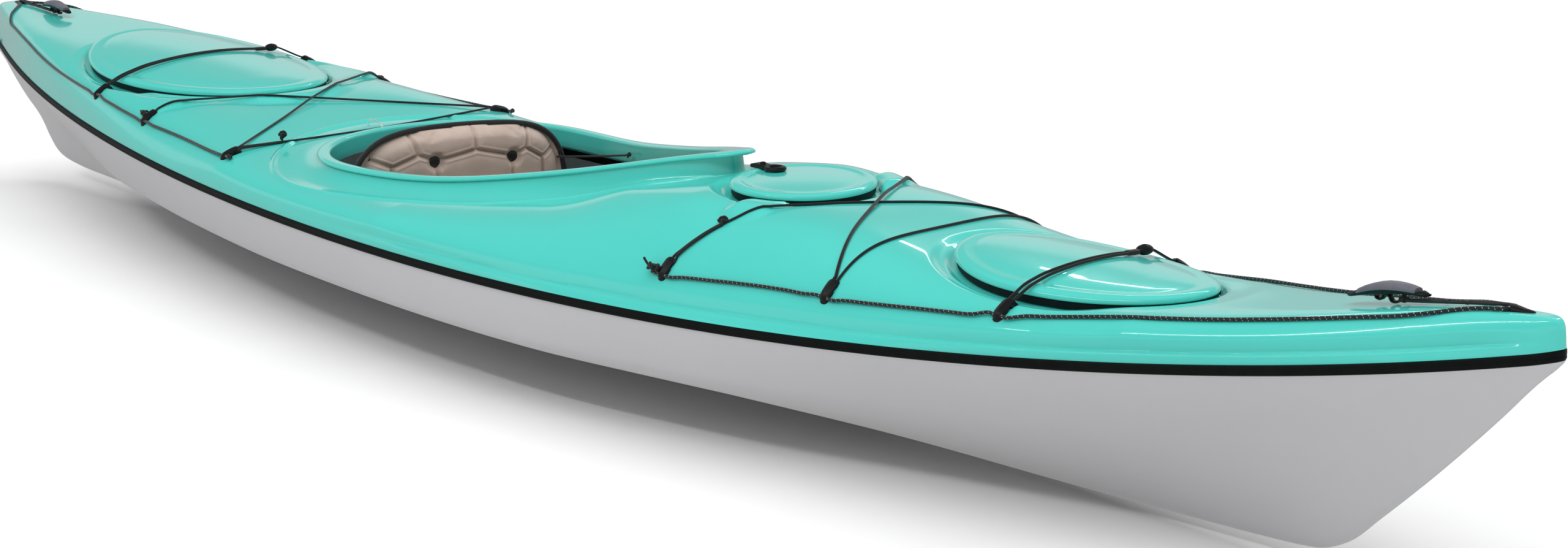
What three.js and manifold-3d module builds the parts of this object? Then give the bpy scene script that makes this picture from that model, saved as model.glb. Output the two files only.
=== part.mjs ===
// Sea kayak, millimetres. +X is the bow, +Y is port, +Z is up.
// The origin is under the middle of the boat, at the height of the keel.
import * as THREE from 'three';
import { mergeVertices } from 'three/addons/utils/BufferGeometryUtils.js';
import Module from 'manifold-3d';

// ---------------------------------------------------------------- driving sizes
const HALF_LENGTH = 1955;        // half of the hull length
const WALL = 5;                  // hull and deck skin
const SEAM = 6.2;                // half height of the seam strip
const GAP = 0.45;                 // space between neighbouring pieces
const CORD = 3;                  // radius of the deck line
const BUNGEE = 2.8;              // radius of the deck bungee
const COCKPIT = { aft: -430, wide: -200, fore: 500, half: 207 };
const BOW_HATCH = { xm: 1205, fore: 227, aft: 180, half: 122, z0: 302.4, slope: -0.027, xc: 1300, k: 0.0008 };
const STERN_HATCH = { xm: -1085, fore: 343, aft: 277, half: 179, z0: 312.8, slope: -0.064, xc: -1000, k: 0.0006 };
const DAY_HATCH = { xm: 668, fore: 105, aft: 105, half: 105, z0: 331.5, slope: -0.027, xc: 667, k: 0 };
const FITTING_X = { a: -1058, b: -834, c: -496, d: 667, e: 961, f: 1243 };
const BOW_EYE_X = 1886, STERN_EYE_X = -1828, BOW_GRIP_X = 1872;

// ---------------------------------------------------------------- curves of the hull
function spline(xs, ys) {        // natural cubic spline
  const n = xs.length, a = new Array(n).fill(0), l = new Array(n).fill(1), mu = new Array(n).fill(0), z = new Array(n).fill(0), c = new Array(n).fill(0);
  for (let i = 1; i < n - 1; i++) {
    const h0 = xs[i] - xs[i - 1], h1 = xs[i + 1] - xs[i];
    a[i] = 3 * ((ys[i + 1] - ys[i]) / h1 - (ys[i] - ys[i - 1]) / h0);
    l[i] = 2 * (xs[i + 1] - xs[i - 1]) - h0 * mu[i - 1];
    mu[i] = h1 / l[i];
    z[i] = (a[i] - h0 * z[i - 1]) / l[i];
  }
  for (let i = n - 2; i > 0; i--) c[i] = z[i] - mu[i] * c[i + 1];
  return (x) => {
    const t = Math.min(Math.max(x, xs[0]), xs[n - 1]);
    let i = 0;
    while (i < n - 2 && t > xs[i + 1]) i++;
    const h = xs[i + 1] - xs[i], d = t - xs[i];
    const b = (ys[i + 1] - ys[i]) / h - h * (2 * c[i] + c[i + 1]) / 3;
    return ys[i] + b * d + c[i] * d * d + (c[i + 1] - c[i]) / (3 * h) * d * d * d;
  };
}
const linear = (pts) => (x) => {
  if (x <= pts[0][0]) return pts[0][1];
  for (let i = 1; i < pts.length; i++) if (x <= pts[i][0]) {
    const [x0, y0] = pts[i - 1], [x1, y1] = pts[i];
    return y0 + (y1 - y0) * (x - x0) / (x1 - x0);
  }
  return pts[pts.length - 1][1];
};
const poly = (c, t) => c.reduce((s, v) => s * t + v, 0);
const clamp = (v, lo, hi) => Math.min(Math.max(v, lo), hi);
const PLAN = [32.0727, -71.6535, -87.2661, 149.526, 78.0874, -67.4321, -338.9746, -2.9682, 326.0939];
const SHEER = [41.2343, -17.2326, -91.9093, 45.358, 93.3534, 26.0331, 64.3098, -20.4134, 182.5571];
const halfBreadth = (x) => {
  const b = Math.max(poly(PLAN, x / 1955), 16);
  const t = Math.abs(x) > 1925 ? (Math.abs(x) - 1925) / 30 : 0;
  return b * Math.sqrt(Math.max(1 - t * t, 0.0004));
};
const seamZ = (x) => poly(SHEER, x / 1955);
const keelZ = linear([[-1955, 262], [-1947, 240], [-1938, 228], [-1907, 207], [-1858, 177], [-1807, 142], [-1781, 129], [-1757, 108], [-1733, 80], [-1703, 56], [-1683, 48], [-1655, 42], [-1568, 34], [-1492, 31], [-1200, 21], [-900, 11], [-600, 4], [-300, 0.5], [0, 0], [400, 0], [777, 1], [968, 4], [1203, 7], [1418, 12], [1519, 15], [1616, 21], [1662, 39], [1707, 77], [1794, 156], [1876, 237], [1915, 278], [1945, 306], [1955, 315]]);
const bilgeRatio = linear([[-1930, .47], [-1760, .25], [-1600, .326], [-1400, .533], [-1150, .744], [-800, .855], [-400, .931], [0, .969], [400, 1.0], [800, .906], [1050, .755], [1300, .67], [1550, .561], [1800, .517], [1940, .587]]);
const bilgeZ = linear([[-1930, 230], [-1760, 125], [-1450, 105], [-1100, 97], [-500, 93], [200, 91], [800, 94], [1150, 103], [1450, 130], [1700, 185], [1940, 300]]);
const crownZ = spline([-1955, -1850, -1700, -1400, -1050, -650, -450, -200, 0, 200, 400, 600, 850, 1100, 1400, 1600, 1800, 1900, 1955],
  [344, 345, 339, 324, 301, 280, 256, 247, 250, 267, 292, 319, 322, 296.5, 296, 319, 351, 362, 365]);
const crownPower = linear([[-1900, 5], [-800, 5], [0, 4], [600, 3.9], [1300, 5], [1900, 5]]);
const lineInset = linear([[-1955, 5], [-1700, 5], [-1500, 7], [-1300, 10.5], [-1150, 15], [-1000, 20], [-834, 24], [-652, 31], [0, 35.5], [652, 37], [1000, 36], [1140, 33], [1243, 31], [1400, 30.5], [1500, 28.5], [1600, 28], [1800, 25], [1955, 24]]);
const lineRise = linear([[-1955, 81], [-1700, 81], [-1500, 77], [-1400, 73], [-1300, 68], [-1200, 64.5], [-1100, 62], [-1000, 59], [-900, 54], [-834, 50.5], [-750, 49], [-600, 50], [1000, 50], [1243, 50.5], [1300, 48.5], [1400, 49.5], [1500, 52], [1700, 52], [1955, 52]]);
const endRound = (x) => {
  if (x < -1850) return Math.pow(Math.max(1 - Math.pow((-1850 - x) / 105.2, 2.6), 0), 1 / 2.6);
  if (x > 1925) return Math.pow(Math.max(1 - Math.pow((x - 1925) / 30.2, 6), 0), 1 / 6);
  return 1;
};
function deckZ(x, y) {           // top of the deck before any opening
  const b = halfBreadth(x), s = seamZ(x) + SEAM + GAP, h = (crownZ(x) - s) * endRound(x), p = crownPower(x);
  const u = clamp(Math.abs(y) / b, 0, 1);
  const u0 = clamp(1 - lineInset(x) / b, 0.3, 0.97), f0 = clamp(lineRise(x) / Math.max(h, 1), 0.2, x < -700 ? 0.94 : x > 1100 ? 0.9 : 0.8);
  const q = clamp(Math.log(1 - Math.pow(u0, p)) / Math.log(f0), 0.8, 12);
  return s + h * Math.pow(1 - Math.pow(u, p), 1 / q);
}
function deckNormal(x, y) {
  const e = 2, gx = (deckZ(x + e, y) - deckZ(x - e, y)) / (2 * e), gy = (deckZ(x, y + e) - deckZ(x, y - e)) / (2 * e);
  return new THREE.Vector3(-gx, -gy, 1).normalize();
}
function hullSection(x) {        // half section from keel to seam, as [y, z]
  const b = halfBreadth(x), s = seamZ(x) - SEAM - GAP, z0 = Math.min(keelZ(x), s - 2);
  const zc = clamp(bilgeZ(x), z0 + 0.12 * (s - z0), s - 0.1 * (s - z0)), yc = clamp(bilgeRatio(x), 0.05, 1) * b;
  const kf = Math.min(9, 0.35 * yc), A = [kf, z0], C = [yc, zc], T = [b, s];
  const mix = (p, q, t) => [p[0] + (q[0] - p[0]) * t, p[1] + (q[1] - p[1]) * t];
  const P1 = mix(A, C, 0.74), P2 = mix(C, T, 0.24);
  const mid = [0.25 * P1[0] + 0.5 * C[0] + 0.25 * P2[0], 0.25 * P1[1] + 0.5 * C[1] + 0.25 * P2[1]];
  const full = clamp((b - 40) / 120, 0, 1);
  const M1 = mix(A, C, 0.38), M2 = mix(C, T, 0.6);
  return [A, [M1[0], M1[1] - 1.5 * full], P1, mid, P2, [M2[0] + 2.5 * full, M2[1]], T];
}

// ---------------------------------------------------------------- solids
const wasm = await Module();
wasm.setup();
function geometry(verts, tris) {
  const g = new THREE.BufferGeometry();
  g.setAttribute('position', new THREE.Float32BufferAttribute(verts.flat(), 3));
  g.setIndex(tris.flat());
  return outward(g);
}
function outward(g) {            // faces turned outward
  const p = g.attributes.position, ix = g.index.array;
  let v = 0;
  const a = new THREE.Vector3(), b = new THREE.Vector3(), c = new THREE.Vector3();
  for (let i = 0; i < ix.length; i += 3) {
    a.fromBufferAttribute(p, ix[i]); b.fromBufferAttribute(p, ix[i + 1]); c.fromBufferAttribute(p, ix[i + 2]);
    v += a.dot(b.clone().cross(c));
  }
  if (v < 0) for (let i = 0; i < ix.length; i += 3) { const t = ix[i + 1]; ix[i + 1] = ix[i + 2]; ix[i + 2] = t; }
  return g;
}
function tidy(g) {
  const c = g.clone();
  for (const n of Object.keys(c.attributes)) if (n !== 'position') c.deleteAttribute(n);
  return outward(mergeVertices(c, 1e-3));
}
const solid = (g) => {
  const t = tidy(g);
  return new wasm.Manifold(new wasm.Mesh({ numProp: 3, vertProperties: new Float32Array(t.attributes.position.array), triVerts: new Uint32Array(t.index.array) }));
};
const unsolid = (m) => {
  const r = m.getMesh(), g = new THREE.BufferGeometry();
  g.setAttribute('position', new THREE.BufferAttribute(new Float32Array(r.vertProperties), 3));
  g.setIndex(new THREE.BufferAttribute(new Uint32Array(r.triVerts), 1));
  return g;
};
const cut = (g, ...tools) => unsolid(tools.reduce((m, t) => m.subtract(solid(t)), solid(g)));
const join = (g, ...more) => unsolid(more.reduce((m, t) => m.add(solid(t)), solid(g)));

function loft(rings) {           // closed sections in a row, capped at both ends
  const m = rings[0].length, verts = rings.flat().map((p) => [...p]), tris = [];
  for (let i = 0; i + 1 < rings.length; i++) for (let j = 0; j < m; j++) {
    const a = i * m + j, b = i * m + (j + 1) % m, c = a + m, d = b + m;
    tris.push([a, b, d], [a, d, c]);
  }
  for (const [i, flip] of [[0, false], [rings.length - 1, true]]) {
    const k = verts.length, ring = rings[i];
    verts.push([0, 1, 2].map((q) => ring.reduce((s, p) => s + p[q], 0) / m));
    for (let j = 0; j < m; j++) {
      const a = i * m + j, b = i * m + (j + 1) % m;
      tris.push(flip ? [a, b, k] : [b, a, k]);
    }
  }
  return geometry(verts, tris);
}
function hoop(sections) {        // closed sections around a closed loop
  const n = sections.length, m = sections[0].length, verts = sections.flat(), tris = [];
  for (let i = 0; i < n; i++) for (let j = 0; j < m; j++) {
    const a = i * m + j, b = i * m + (j + 1) % m, c = ((i + 1) % n) * m + j, d = ((i + 1) % n) * m + (j + 1) % m;
    tris.push([a, b, d], [a, d, c]);
  }
  return geometry(verts, tris);
}
class Route extends THREE.Curve { // passes through its points in equal steps
  constructor(points) { super(); this.points = points.map((p) => new THREE.Vector3(...p)); }
  getPoint(t, target = new THREE.Vector3()) {
    const n = this.points.length - 1, f = clamp(t, 0, 1) * n, i = Math.min(Math.floor(f), n - 1);
    return target.copy(this.points[i]).lerp(this.points[i + 1], f - i);
  }
  getPointAt(u, target) { return this.getPoint(u, target); }
  getTangentAt(u, target) { return this.getTangent(u, target); }
  getSpacedPoints(n) { return Array.from({ length: n + 1 }, (_, i) => this.getPoint(i / n)); }
}
function rod(points, radius, sides = 8) {
  const curve = new Route(points);
  const shape = new THREE.Shape(Array.from({ length: sides }, (_, i) => new THREE.Vector2(radius * Math.cos(2 * Math.PI * i / sides), radius * Math.sin(2 * Math.PI * i / sides))));
  return tidy(new THREE.ExtrudeGeometry(shape, { steps: points.length - 1, extrudePath: curve, bevelEnabled: false }));
}
function prism(outline, z0, z1) {
  const shape = new THREE.Shape(outline.map(([x, y]) => new THREE.Vector2(x, y)));
  const g = new THREE.ExtrudeGeometry(shape, { depth: z1 - z0, bevelEnabled: false });
  g.translate(0, 0, z0);
  return tidy(g);
}
function slab(x0, x1, y0, y1, z0, z1) {
  const g = new THREE.BoxGeometry(x1 - x0, y1 - y0, z1 - z0);
  g.translate((x0 + x1) / 2, (y0 + y1) / 2, (z0 + z1) / 2);
  return tidy(g);
}
function sideProfile(profile, y0, y1) {   // outline in x and z, swept across the boat
  const g = new THREE.ExtrudeGeometry(new THREE.Shape(profile.map(([x, z]) => new THREE.Vector2(x, z))), { depth: y1 - y0, bevelEnabled: false });
  g.applyMatrix4(new THREE.Matrix4().set(1, 0, 0, 0, 0, 0, 1, y0, 0, 1, 0, 0, 0, 0, 0, 1));
  return tidy(g);
}
function frontProfile(profile, x0, x1) {  // outline in y and z, swept along the boat
  const g = new THREE.ExtrudeGeometry(new THREE.Shape(profile.map(([y, z]) => new THREE.Vector2(y, z))), { depth: x1 - x0, bevelEnabled: false });
  g.applyMatrix4(new THREE.Matrix4().set(0, 0, 1, x0, 1, 0, 0, 0, 0, 1, 0, 0, 0, 0, 0, 1));
  return tidy(g);
}
const mirrorY = (g) => { const c = g.clone(); c.scale(1, -1, 1); return tidy(c); };

const group = new THREE.Group();
function add(name, geom, color, roughness = 0.6, metalness = 0) {
  const mesh = new THREE.Mesh(geom, new THREE.MeshStandardMaterial({ color, roughness, metalness }));
  mesh.name = name;
  group.add(mesh);
  return mesh;
}
const TEAL = 0x5bd3c6, GREY = 0xc9c9cb, BLACK = 0x17181a, SOFT = 0xab998f, DARK = 0x2b2c30, SILVER = 0x74747c;

// ---------------------------------------------------------------- hull
const STATIONS = [-1954.6, -1945, -1920, -1870, -1807, -1757, -1733, -1703, -1655, -1560, -1400, -1200, -980, -760, -620, -500, -450, -320, -80, 160, 400, 570, 740, 900, 1060, 1220, 1380, 1520, 1616, 1662, 1707, 1790, 1876, 1925, 1945, 1954.6];
const hullRing = (x) => {
  const h = hullSection(x);
  return [...h.map(([y, z]) => [x, y, z]).reverse(), ...h.map(([y, z]) => [x, -y, z])];
};
const hullInnerRing = (x) => {
  const h = hullSection(x), out = h.map(([y, z], i) => {
    const p = h[Math.max(i - 1, 0)], q = h[Math.min(i + 1, h.length - 1)];
    let ty = q[0] - p[0], tz = q[1] - p[1];
    const l = Math.hypot(ty, tz);
    ty /= l; tz /= l;
    return i === 0 ? [Math.max(y - 1, 1), z + WALL] : [Math.max(y - tz * WALL, 2), z + ty * WALL];
  });
  out.push([halfBreadth(x) - WALL, seamZ(x) + 40]);
  return [...out.map(([y, z]) => [x, y, z]).reverse(), ...out.map(([y, z]) => [x, -y, z])];
};
const INNER = STATIONS.filter((x) => x > -1800 && x < 1780);
const hull = cut(loft(STATIONS.map(hullRing)), loft(INNER.map(hullInnerRing)));
add('hull_shell', hull, GREY, 0.28);

// ---------------------------------------------------------------- outlines in plan
function egg(h, inset, n = 26) { // oval outline of a hatch, inset from the cover's edge
  return Array.from({ length: n }, (_, i) => {
    const t = 2 * Math.PI * i / n, c = Math.cos(t), s = Math.sin(t);
    return [h.xm + (c > 0 ? h.fore - inset : h.aft - inset) * c, (h.half - inset) * s];
  });
}
const coamingHalf = (x) => {
  const c = COCKPIT;
  if (x > c.wide) { const t = (x - c.wide) / (c.fore - c.wide); return c.half * Math.pow(Math.max(1 - Math.pow(t, 1.6), 0), 0.9); }
  const t = (c.wide - x) / (c.wide - c.aft);
  return c.half * Math.sqrt(Math.max(1 - Math.pow(t, 2.3), 0));
};
const cockpitOutline = (() => {   // counter-clockwise, starting at the fore tip
  const side = [];
  for (const t of [0.035, 0.09, 0.16, 0.25, 0.35, 0.46, 0.58, 0.7, 0.82, 0.93]) side.push(COCKPIT.fore - (COCKPIT.fore - COCKPIT.wide) * t);
  const aft = [0.0, 0.25, 0.48, 0.68, 0.84, 0.95, 0.995].map((t) => COCKPIT.wide - (COCKPIT.wide - COCKPIT.aft) * t);
  const xs = [...side, ...aft];
  const port = xs.map((x) => [x, coamingHalf(x)]);
  return [[COCKPIT.fore, 0], ...port, [COCKPIT.aft, 0], ...port.map(([x, y]) => [x, -y]).reverse()];
})();
function normals(outline) {
  const n = outline.length;
  return outline.map((_, i) => {
    const p = outline[(i + n - 1) % n], q = outline[(i + 1) % n], dx = q[0] - p[0], dy = q[1] - p[1], l = Math.hypot(dx, dy);
    return [dy / l, -dx / l];
  });
}
const cockpitNormals = normals(cockpitOutline);
const lipZ = spline([-470, -430, -320, -160, 0, 160, 320, 480, 560], [266, 266, 264, 265, 272, 292, 319, 349, 361]);

function coamingSections(grow) { // ring section around the opening, optionally a little larger
  return cockpitOutline.map(([x, y], i) => {
    const [nx, ny] = cockpitNormals[i], e = grow;
    const wide = 22 + 34 * Math.exp(-Math.pow((x - COCKPIT.fore) / 60, 2)) * Math.pow(Math.max(nx, 0), 2);
    const at = (n, f, dz = 0) => { const px = x + nx * n, py = y + ny * n; return [px, py, f(px, py) + dz]; };
    const lip = (d) => (px) => lipZ(px) + d;
    const land = (px, py) => deckZ(px, py) + 0.9;
    return [at(0 - e, lip(0), e), at(9, lip(0.8), e), at(wide - 2, lip(-1), e), at(wide + e, lip(-3.5)), at(wide - 3, lip(-6), -e), at(15 + e, lip(-7), -e), at(14 + e, land, -e), at(5 + e, land, -e), at(5 + e, lip(-38), -e), at(0 - e, lip(-38), -e)];
  });
}

// ---------------------------------------------------------------- deck
const DECK_U = [1, 0.994, 0.975, 0.92, 0.84, 0.72, 0.54, 0.3, 0];
const deckRing = (x) => {
  const b = halfBreadth(x), half = DECK_U.map((u) => [x, u * b, deckZ(x, u * b)]);
  return [...half, ...half.slice(0, -1).reverse().map(([a, y, z]) => [a, -y, z])];
};
const deckInnerRing = (x) => {
  const b = halfBreadth(x), k = (b - WALL) / b;
  const half = DECK_U.map((u) => [x, u * b * k, Math.max(deckZ(x, u * b) - WALL, seamZ(x))]);
  half[0] = [x, b * k, seamZ(x) - 20];
  return [...half, ...half.slice(0, -1).reverse().map(([a, y, z]) => [a, -y, z])];
};
const deckBody = loft(STATIONS.map(deckRing));
const hatchPlane = (h) => (x, y) => h.z0 + h.slope * (x - h.xc) - h.k * y * y;
function well(h, grow) {         // shallow recess that a hatch sits in
  const f = hatchPlane(h), ring = (out, dz) => egg(h, -out).map(([x, y]) => [x, y, f(x, y) + dz - grow]);
  return loft([ring(8 + grow, -10.5), ring(46 + grow, 14), ring(46 + grow, 150)]);
}
const HATCHES = [BOW_HATCH, STERN_HATCH, DAY_HATCH];
const deckInner = cut(loft(INNER.map(deckInnerRing)), ...HATCHES.map((h) => well(h, WALL)));
const cockpitCut = cockpitOutline.map(([x, y], i) => [x + cockpitNormals[i][0] * 5.4, y + cockpitNormals[i][1] * 5.4]);
const deck = cut(deckBody, ...HATCHES.map((h) => well(h, 0)), deckInner, prism(cockpitCut, 150, 500), hoop(coamingSections(0.45)),
  prism(egg(BOW_HATCH, 9.6), 200, 500), prism(egg(STERN_HATCH, 9.6), 200, 500), prism(egg(DAY_HATCH, 9.6), 230, 500));
add('deck_shell', deck, TEAL, 0.18);

// ---------------------------------------------------------------- seam strip
const rim = (() => {
  const xs = [...STATIONS].reverse();
  const port = xs.slice(1, -1).map((x) => [x, halfBreadth(x)]);
  return [[HALF_LENGTH, 0], ...port, [-HALF_LENGTH, 0], ...port.map(([x, y]) => [x, -y]).reverse()];
})();
const rimNormals = normals(rim);
add('seam_strip', hoop(rim.map(([x, y], i) => {
  const [nx, ny] = rimNormals[i];
  const at = (n, dz) => [x + nx * n, y + ny * n, seamZ(clamp(x + nx * n, -1955, 1955)) + dz];
  return [at(-WALL, -SEAM), at(2.6, -SEAM), at(2.6, SEAM), at(-WALL, SEAM)];
})), BLACK, 0.5);

// ---------------------------------------------------------------- cockpit coaming
add('cockpit_coaming', hoop(coamingSections(0)), TEAL, 0.18);

// ---------------------------------------------------------------- hatches
function hatchCover(h, crown, n = 26) {
  const f = hatchPlane(h);
  const ring = (inset, dz) => egg(h, inset, n).map(([x, y]) => [x, y, f(x, y) + dz]);
  const small = (k, dz) => egg(h, 0, n).map(([x, y]) => { const px = h.xm + (x - h.xm) * k, py = y * k; return [px, py, f(px, py) + dz]; });
  return loft([small(0.4, -7), ring(0, -7), ring(0, 0), ring(4, 3), ring(14, 4.2), small(0.5, 4.2 + crown)]);
}
function hatchCollar(h, bottom, n = 26) {
  const f = hatchPlane(h), a = egg(h, 10, n), b = egg(h, 17, n);
  return hoop(a.map(([x, y], i) => {
    const [u, v] = b[i], low = bottom(x, y);
    return [[x, y, low], [x, y, f(x, y) - 8.4], [u, v, f(u, v) - 8.4], [u, v, low]];
  }));
}
add('bow_hatch_collar', hatchCollar(BOW_HATCH, (x, y) => deckZ(x, y) - 15), BLACK, 0.7);
add('stern_hatch_collar', hatchCollar(STERN_HATCH, (x, y) => deckZ(x, y) - 15), BLACK, 0.7);
add('day_hatch_collar', hatchCollar(DAY_HATCH, () => 293), BLACK, 0.7);
add('bow_hatch_cover', hatchCover(BOW_HATCH, 3), TEAL, 0.18);
add('stern_hatch_cover', hatchCover(STERN_HATCH, 4), TEAL, 0.18);
add('day_hatch_cover', hatchCover(DAY_HATCH, 1.5), TEAL, 0.18);

// pull ring of the day hatch, lying on the aft part of its cover
const ringTop = hatchPlane(DAY_HATCH)(600, 0) + 7.2;
const pull = join(
  sideProfile([[568, ringTop - 0.4], [570, ringTop + 6.5], [590, ringTop + 5], [594, ringTop - 0.4]], -9, 9),
  (() => { const g = new THREE.TorusGeometry(15, 4.4, 6, 12); g.translate(604, 0, ringTop + 4.4); return g; })());
add('day_hatch_pull_ring', pull, BLACK, 0.45);

// pod that hangs under the day hatch
const podProfile = [[0, 205], [70, 205], [80, 209], [88, 232], [94, 292.4], [91, 292.4], [85, 233], [77.5, 212], [69, 208], [0, 208]].map(([r, z]) => new THREE.Vector2(r, z));
const pod = new THREE.LatheGeometry(podProfile, 20);
pod.applyMatrix4(new THREE.Matrix4().makeRotationX(Math.PI / 2));
pod.translate(DAY_HATCH.xm, 0, 0);
add('day_hatch_pod', tidy(pod), DARK, 0.6);

// ---------------------------------------------------------------- bulkheads
function bulkhead(x) {
  const inset = 8.5, h = hullSection(x), b = halfBreadth(x), pts = [];
  for (let i = 0; i < h.length; i++) {
    const p = h[Math.max(i - 1, 0)], q = h[Math.min(i + 1, h.length - 1)];
    const l = Math.hypot(q[0] - p[0], q[1] - p[1]);
    pts.push([Math.max(h[i][0] - inset * (q[1] - p[1]) / l, 1), h[i][1] + inset * (i === 0 ? 1 : (q[0] - p[0]) / l)]);
  }
  const k = (b - inset) / b;
  for (const u of [0.95, 0.83, 0.7, 0.5, 0.25]) pts.push([u * b * k, deckZ(x, u * b) - inset]);
  pts.push([0, deckZ(x, 0) - inset]);
  const half = pts.slice(0, -1);
  return frontProfile([...pts, ...half.map(([y, z]) => [-y, z]).reverse()], x - 3, x + 3);
}
add('fore_bulkhead', bulkhead(985), GREY, 0.6);
add('aft_bulkhead', bulkhead(-560), GREY, 0.6);

// ---------------------------------------------------------------- seat
add('seat_rail', frontProfile([[-20, 14], [20, 14], [38, 55], [-38, 55]], -160, 140), DARK, 0.6);
const panLine = [[-198, 152], [-186, 92], [-150, 72], [-70, 62], [0, 60], [70, 62], [150, 72], [186, 92], [198, 152]];
add('seat_pan', frontProfile([...panLine.map(([y, z]) => [y, z]), ...[...panLine].reverse().map(([y, z]) => [Math.sign(y) * Math.max(Math.abs(y) - 4.5, 0), z + (Math.abs(y) > 195 ? 0 : 4.5)])], -185, 165), DARK, 0.6);
add('seat_cushion', frontProfile([[-150, 82], [-120, 76], [-70, 69.5], [0, 67], [70, 69.5], [120, 76], [150, 82], [158, 97], [120, 95], [70, 91], [0, 89], [-70, 91], [-120, 95], [-158, 97]], -140, 155), SOFT, 0.9);
// outlines of the backrest in y and z
const backOutline = [[-150, 104], [150, 104], [178, 130], [190, 180], [190.5, 225], [182, 262], [163, 286], [130, 298], [70, 305], [0, 307], [-70, 305], [-130, 298], [-163, 286], [-182, 262], [-190.5, 225], [-190, 180], [-178, 130]];
const shrink = (o, k, zc = 206) => o.map(([y, z]) => [y * k, zc + (z - zc) * k]);
add('backrest_pad', (() => {
  const ring = (k, x) => shrink(backOutline, k).map(([y, z]) => [x, y, z]);
  return loft([ring(0.96, -202), ring(1, -199), ring(1, -191), ring(0.955, -181), ring(0.9, -178)]);
})(), SOFT, 0.9);
add('backrest_frame', (() => {
  const ring = (k, x) => shrink(backOutline, k).map(([y, z]) => [x, y, z]);
  return join(loft([ring(0.9, -210), ring(0.93, -203)]), slab(-210, -203, -60, 60, 84, 120));
})(), DARK, 0.6);
for (const [side, y] of [['port', 72], ['starboard', -72]]) {
  const g = new THREE.CylinderGeometry(10, 11, 5, 12);
  g.rotateZ(-Math.PI / 2);
  g.translate(-174.9, y, 242);
  add(`backrest_button_${side}`, tidy(g), BLACK, 0.4);
}
// cord from the coaming to each side of the backrest
const backCord = rod([[20, 167.5, 252], [-20, 176.5, 240], [-60, 185.5, 228], [-130, 195.6, 223.5], [-186, 196, 219]], 1.5, 8);
add('backrest_cord_port', backCord, BLACK, 0.7);
add('backrest_cord_starboard', mirrorY(backCord), BLACK, 0.7);

// ---------------------------------------------------------------- thigh pads and foot braces
for (const [side, s] of [['port', 1], ['starboard', -1]]) {
  const pad = loft([[250, 150, 205, 222, 240], [275, 140, 212, 220, 246], [385, 128, 206, 226, 252], [410, 138, 195, 230, 250]].map(([x, y0, y1, z0, z1]) =>
    [[x, y0, z0], [x, y1, z0 - 6], [x, y1 + 3, z1 - 14], [x, y0, z1]]));
  add(`thigh_pad_${side}`, s > 0 ? pad : mirrorY(pad), DARK, 0.8);
}
const RAIL = { x0: 480, y0: 288, x1: 860, y1: 220, z: 128 };
const railDir = new THREE.Vector3(RAIL.x1 - RAIL.x0, RAIL.y1 - RAIL.y0, 0).normalize();
const railOut = new THREE.Vector3(-railDir.y, railDir.x, 0);
function alongRail(d, u0, u1, v0, v1, z0, z1) {  // box beside the rail: d along it, u along, v inboard to outboard
  const g = new THREE.BoxGeometry(u1 - u0, v1 - v0, z1 - z0);
  g.translate((u0 + u1) / 2, (v0 + v1) / 2, (z0 + z1) / 2);
  g.applyMatrix4(new THREE.Matrix4().makeBasis(railDir, railOut, new THREE.Vector3(0, 0, 1)));
  g.translate(RAIL.x0 + railDir.x * d, RAIL.y0 + railDir.y * d, 0);
  return tidy(g);
}
const rail = cut(alongRail(0, 0, 386, -12, 0, 116, 142), alongRail(0, 14, 372, -13, -4, 125, 133));
const pedal = join(alongRail(180, -16, 16, -26, -12.6, 112, 146), alongRail(180, 6, 13, -92, -20, 104, 182));
add('foot_rail_port', rail, DARK, 0.6);
add('foot_rail_starboard', mirrorY(rail), DARK, 0.6);
add('foot_pedal_port', pedal, BLACK, 0.6);
add('foot_pedal_starboard', mirrorY(pedal), BLACK, 0.6);

// ---------------------------------------------------------------- deck fittings and lines
const LINE_LIFT = 7.2;           // height of the line over the deck where it passes a cleat
const lineY = (x) => halfBreadth(x) - lineInset(x);
const cleatY = (x) => lineY(x) + (x === FITTING_X.f ? 14 : x === FITTING_X.a ? 6 : 0);
function overDeck(x, y, lift) {  // point at a height over the deck, along its normal
  const n = deckNormal(x, y), z = deckZ(x, y);
  return [x + n.x * lift, y + n.y * lift, z + n.z * lift];
}
function fitting(x) {            // wedge cleat on the port side, bored for the line
  const y = cleatY(x), n = deckNormal(x, y), t = new THREE.Vector3(1, 0, 0).addScaledVector(n, -n.x).normalize();
  const w = n.clone().cross(t).normalize();          // points outboard
  if (w.y < 0) w.negate();
  const wedge = new THREE.ExtrudeGeometry(new THREE.Shape([[6.5, 0], [6.8, 8], [3, 11], [-6, 11.4], [-24, 9], [-26.5, 3], [-26, 0]].map(([a, b]) => new THREE.Vector2(a, b))), { depth: 20, bevelEnabled: false });
  wedge.translate(0, 2.2, -10);
  const bore = new THREE.CylinderGeometry(3.9, 3.9, 40, 10);
  bore.rotateX(Math.PI / 2);
  bore.translate(0, LINE_LIFT, 0);
  const g = cut(wedge, bore);
  // local x is outboard, y is up from the deck, z is along the boat
  g.applyMatrix4(new THREE.Matrix4().makeBasis(w, n, w.clone().cross(n)));
  g.translate(x, y, deckZ(x, y));
  return tidy(g);
}
for (const [k, x] of Object.entries(FITTING_X)) {
  const f = fitting(x);
  add(`deck_fitting_${k}_port`, f, BLACK, 0.5);
  add(`deck_fitting_${k}_starboard`, mirrorY(f), BLACK, 0.5);
}
const eyeZ = (x) => deckZ(x, 0);
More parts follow.
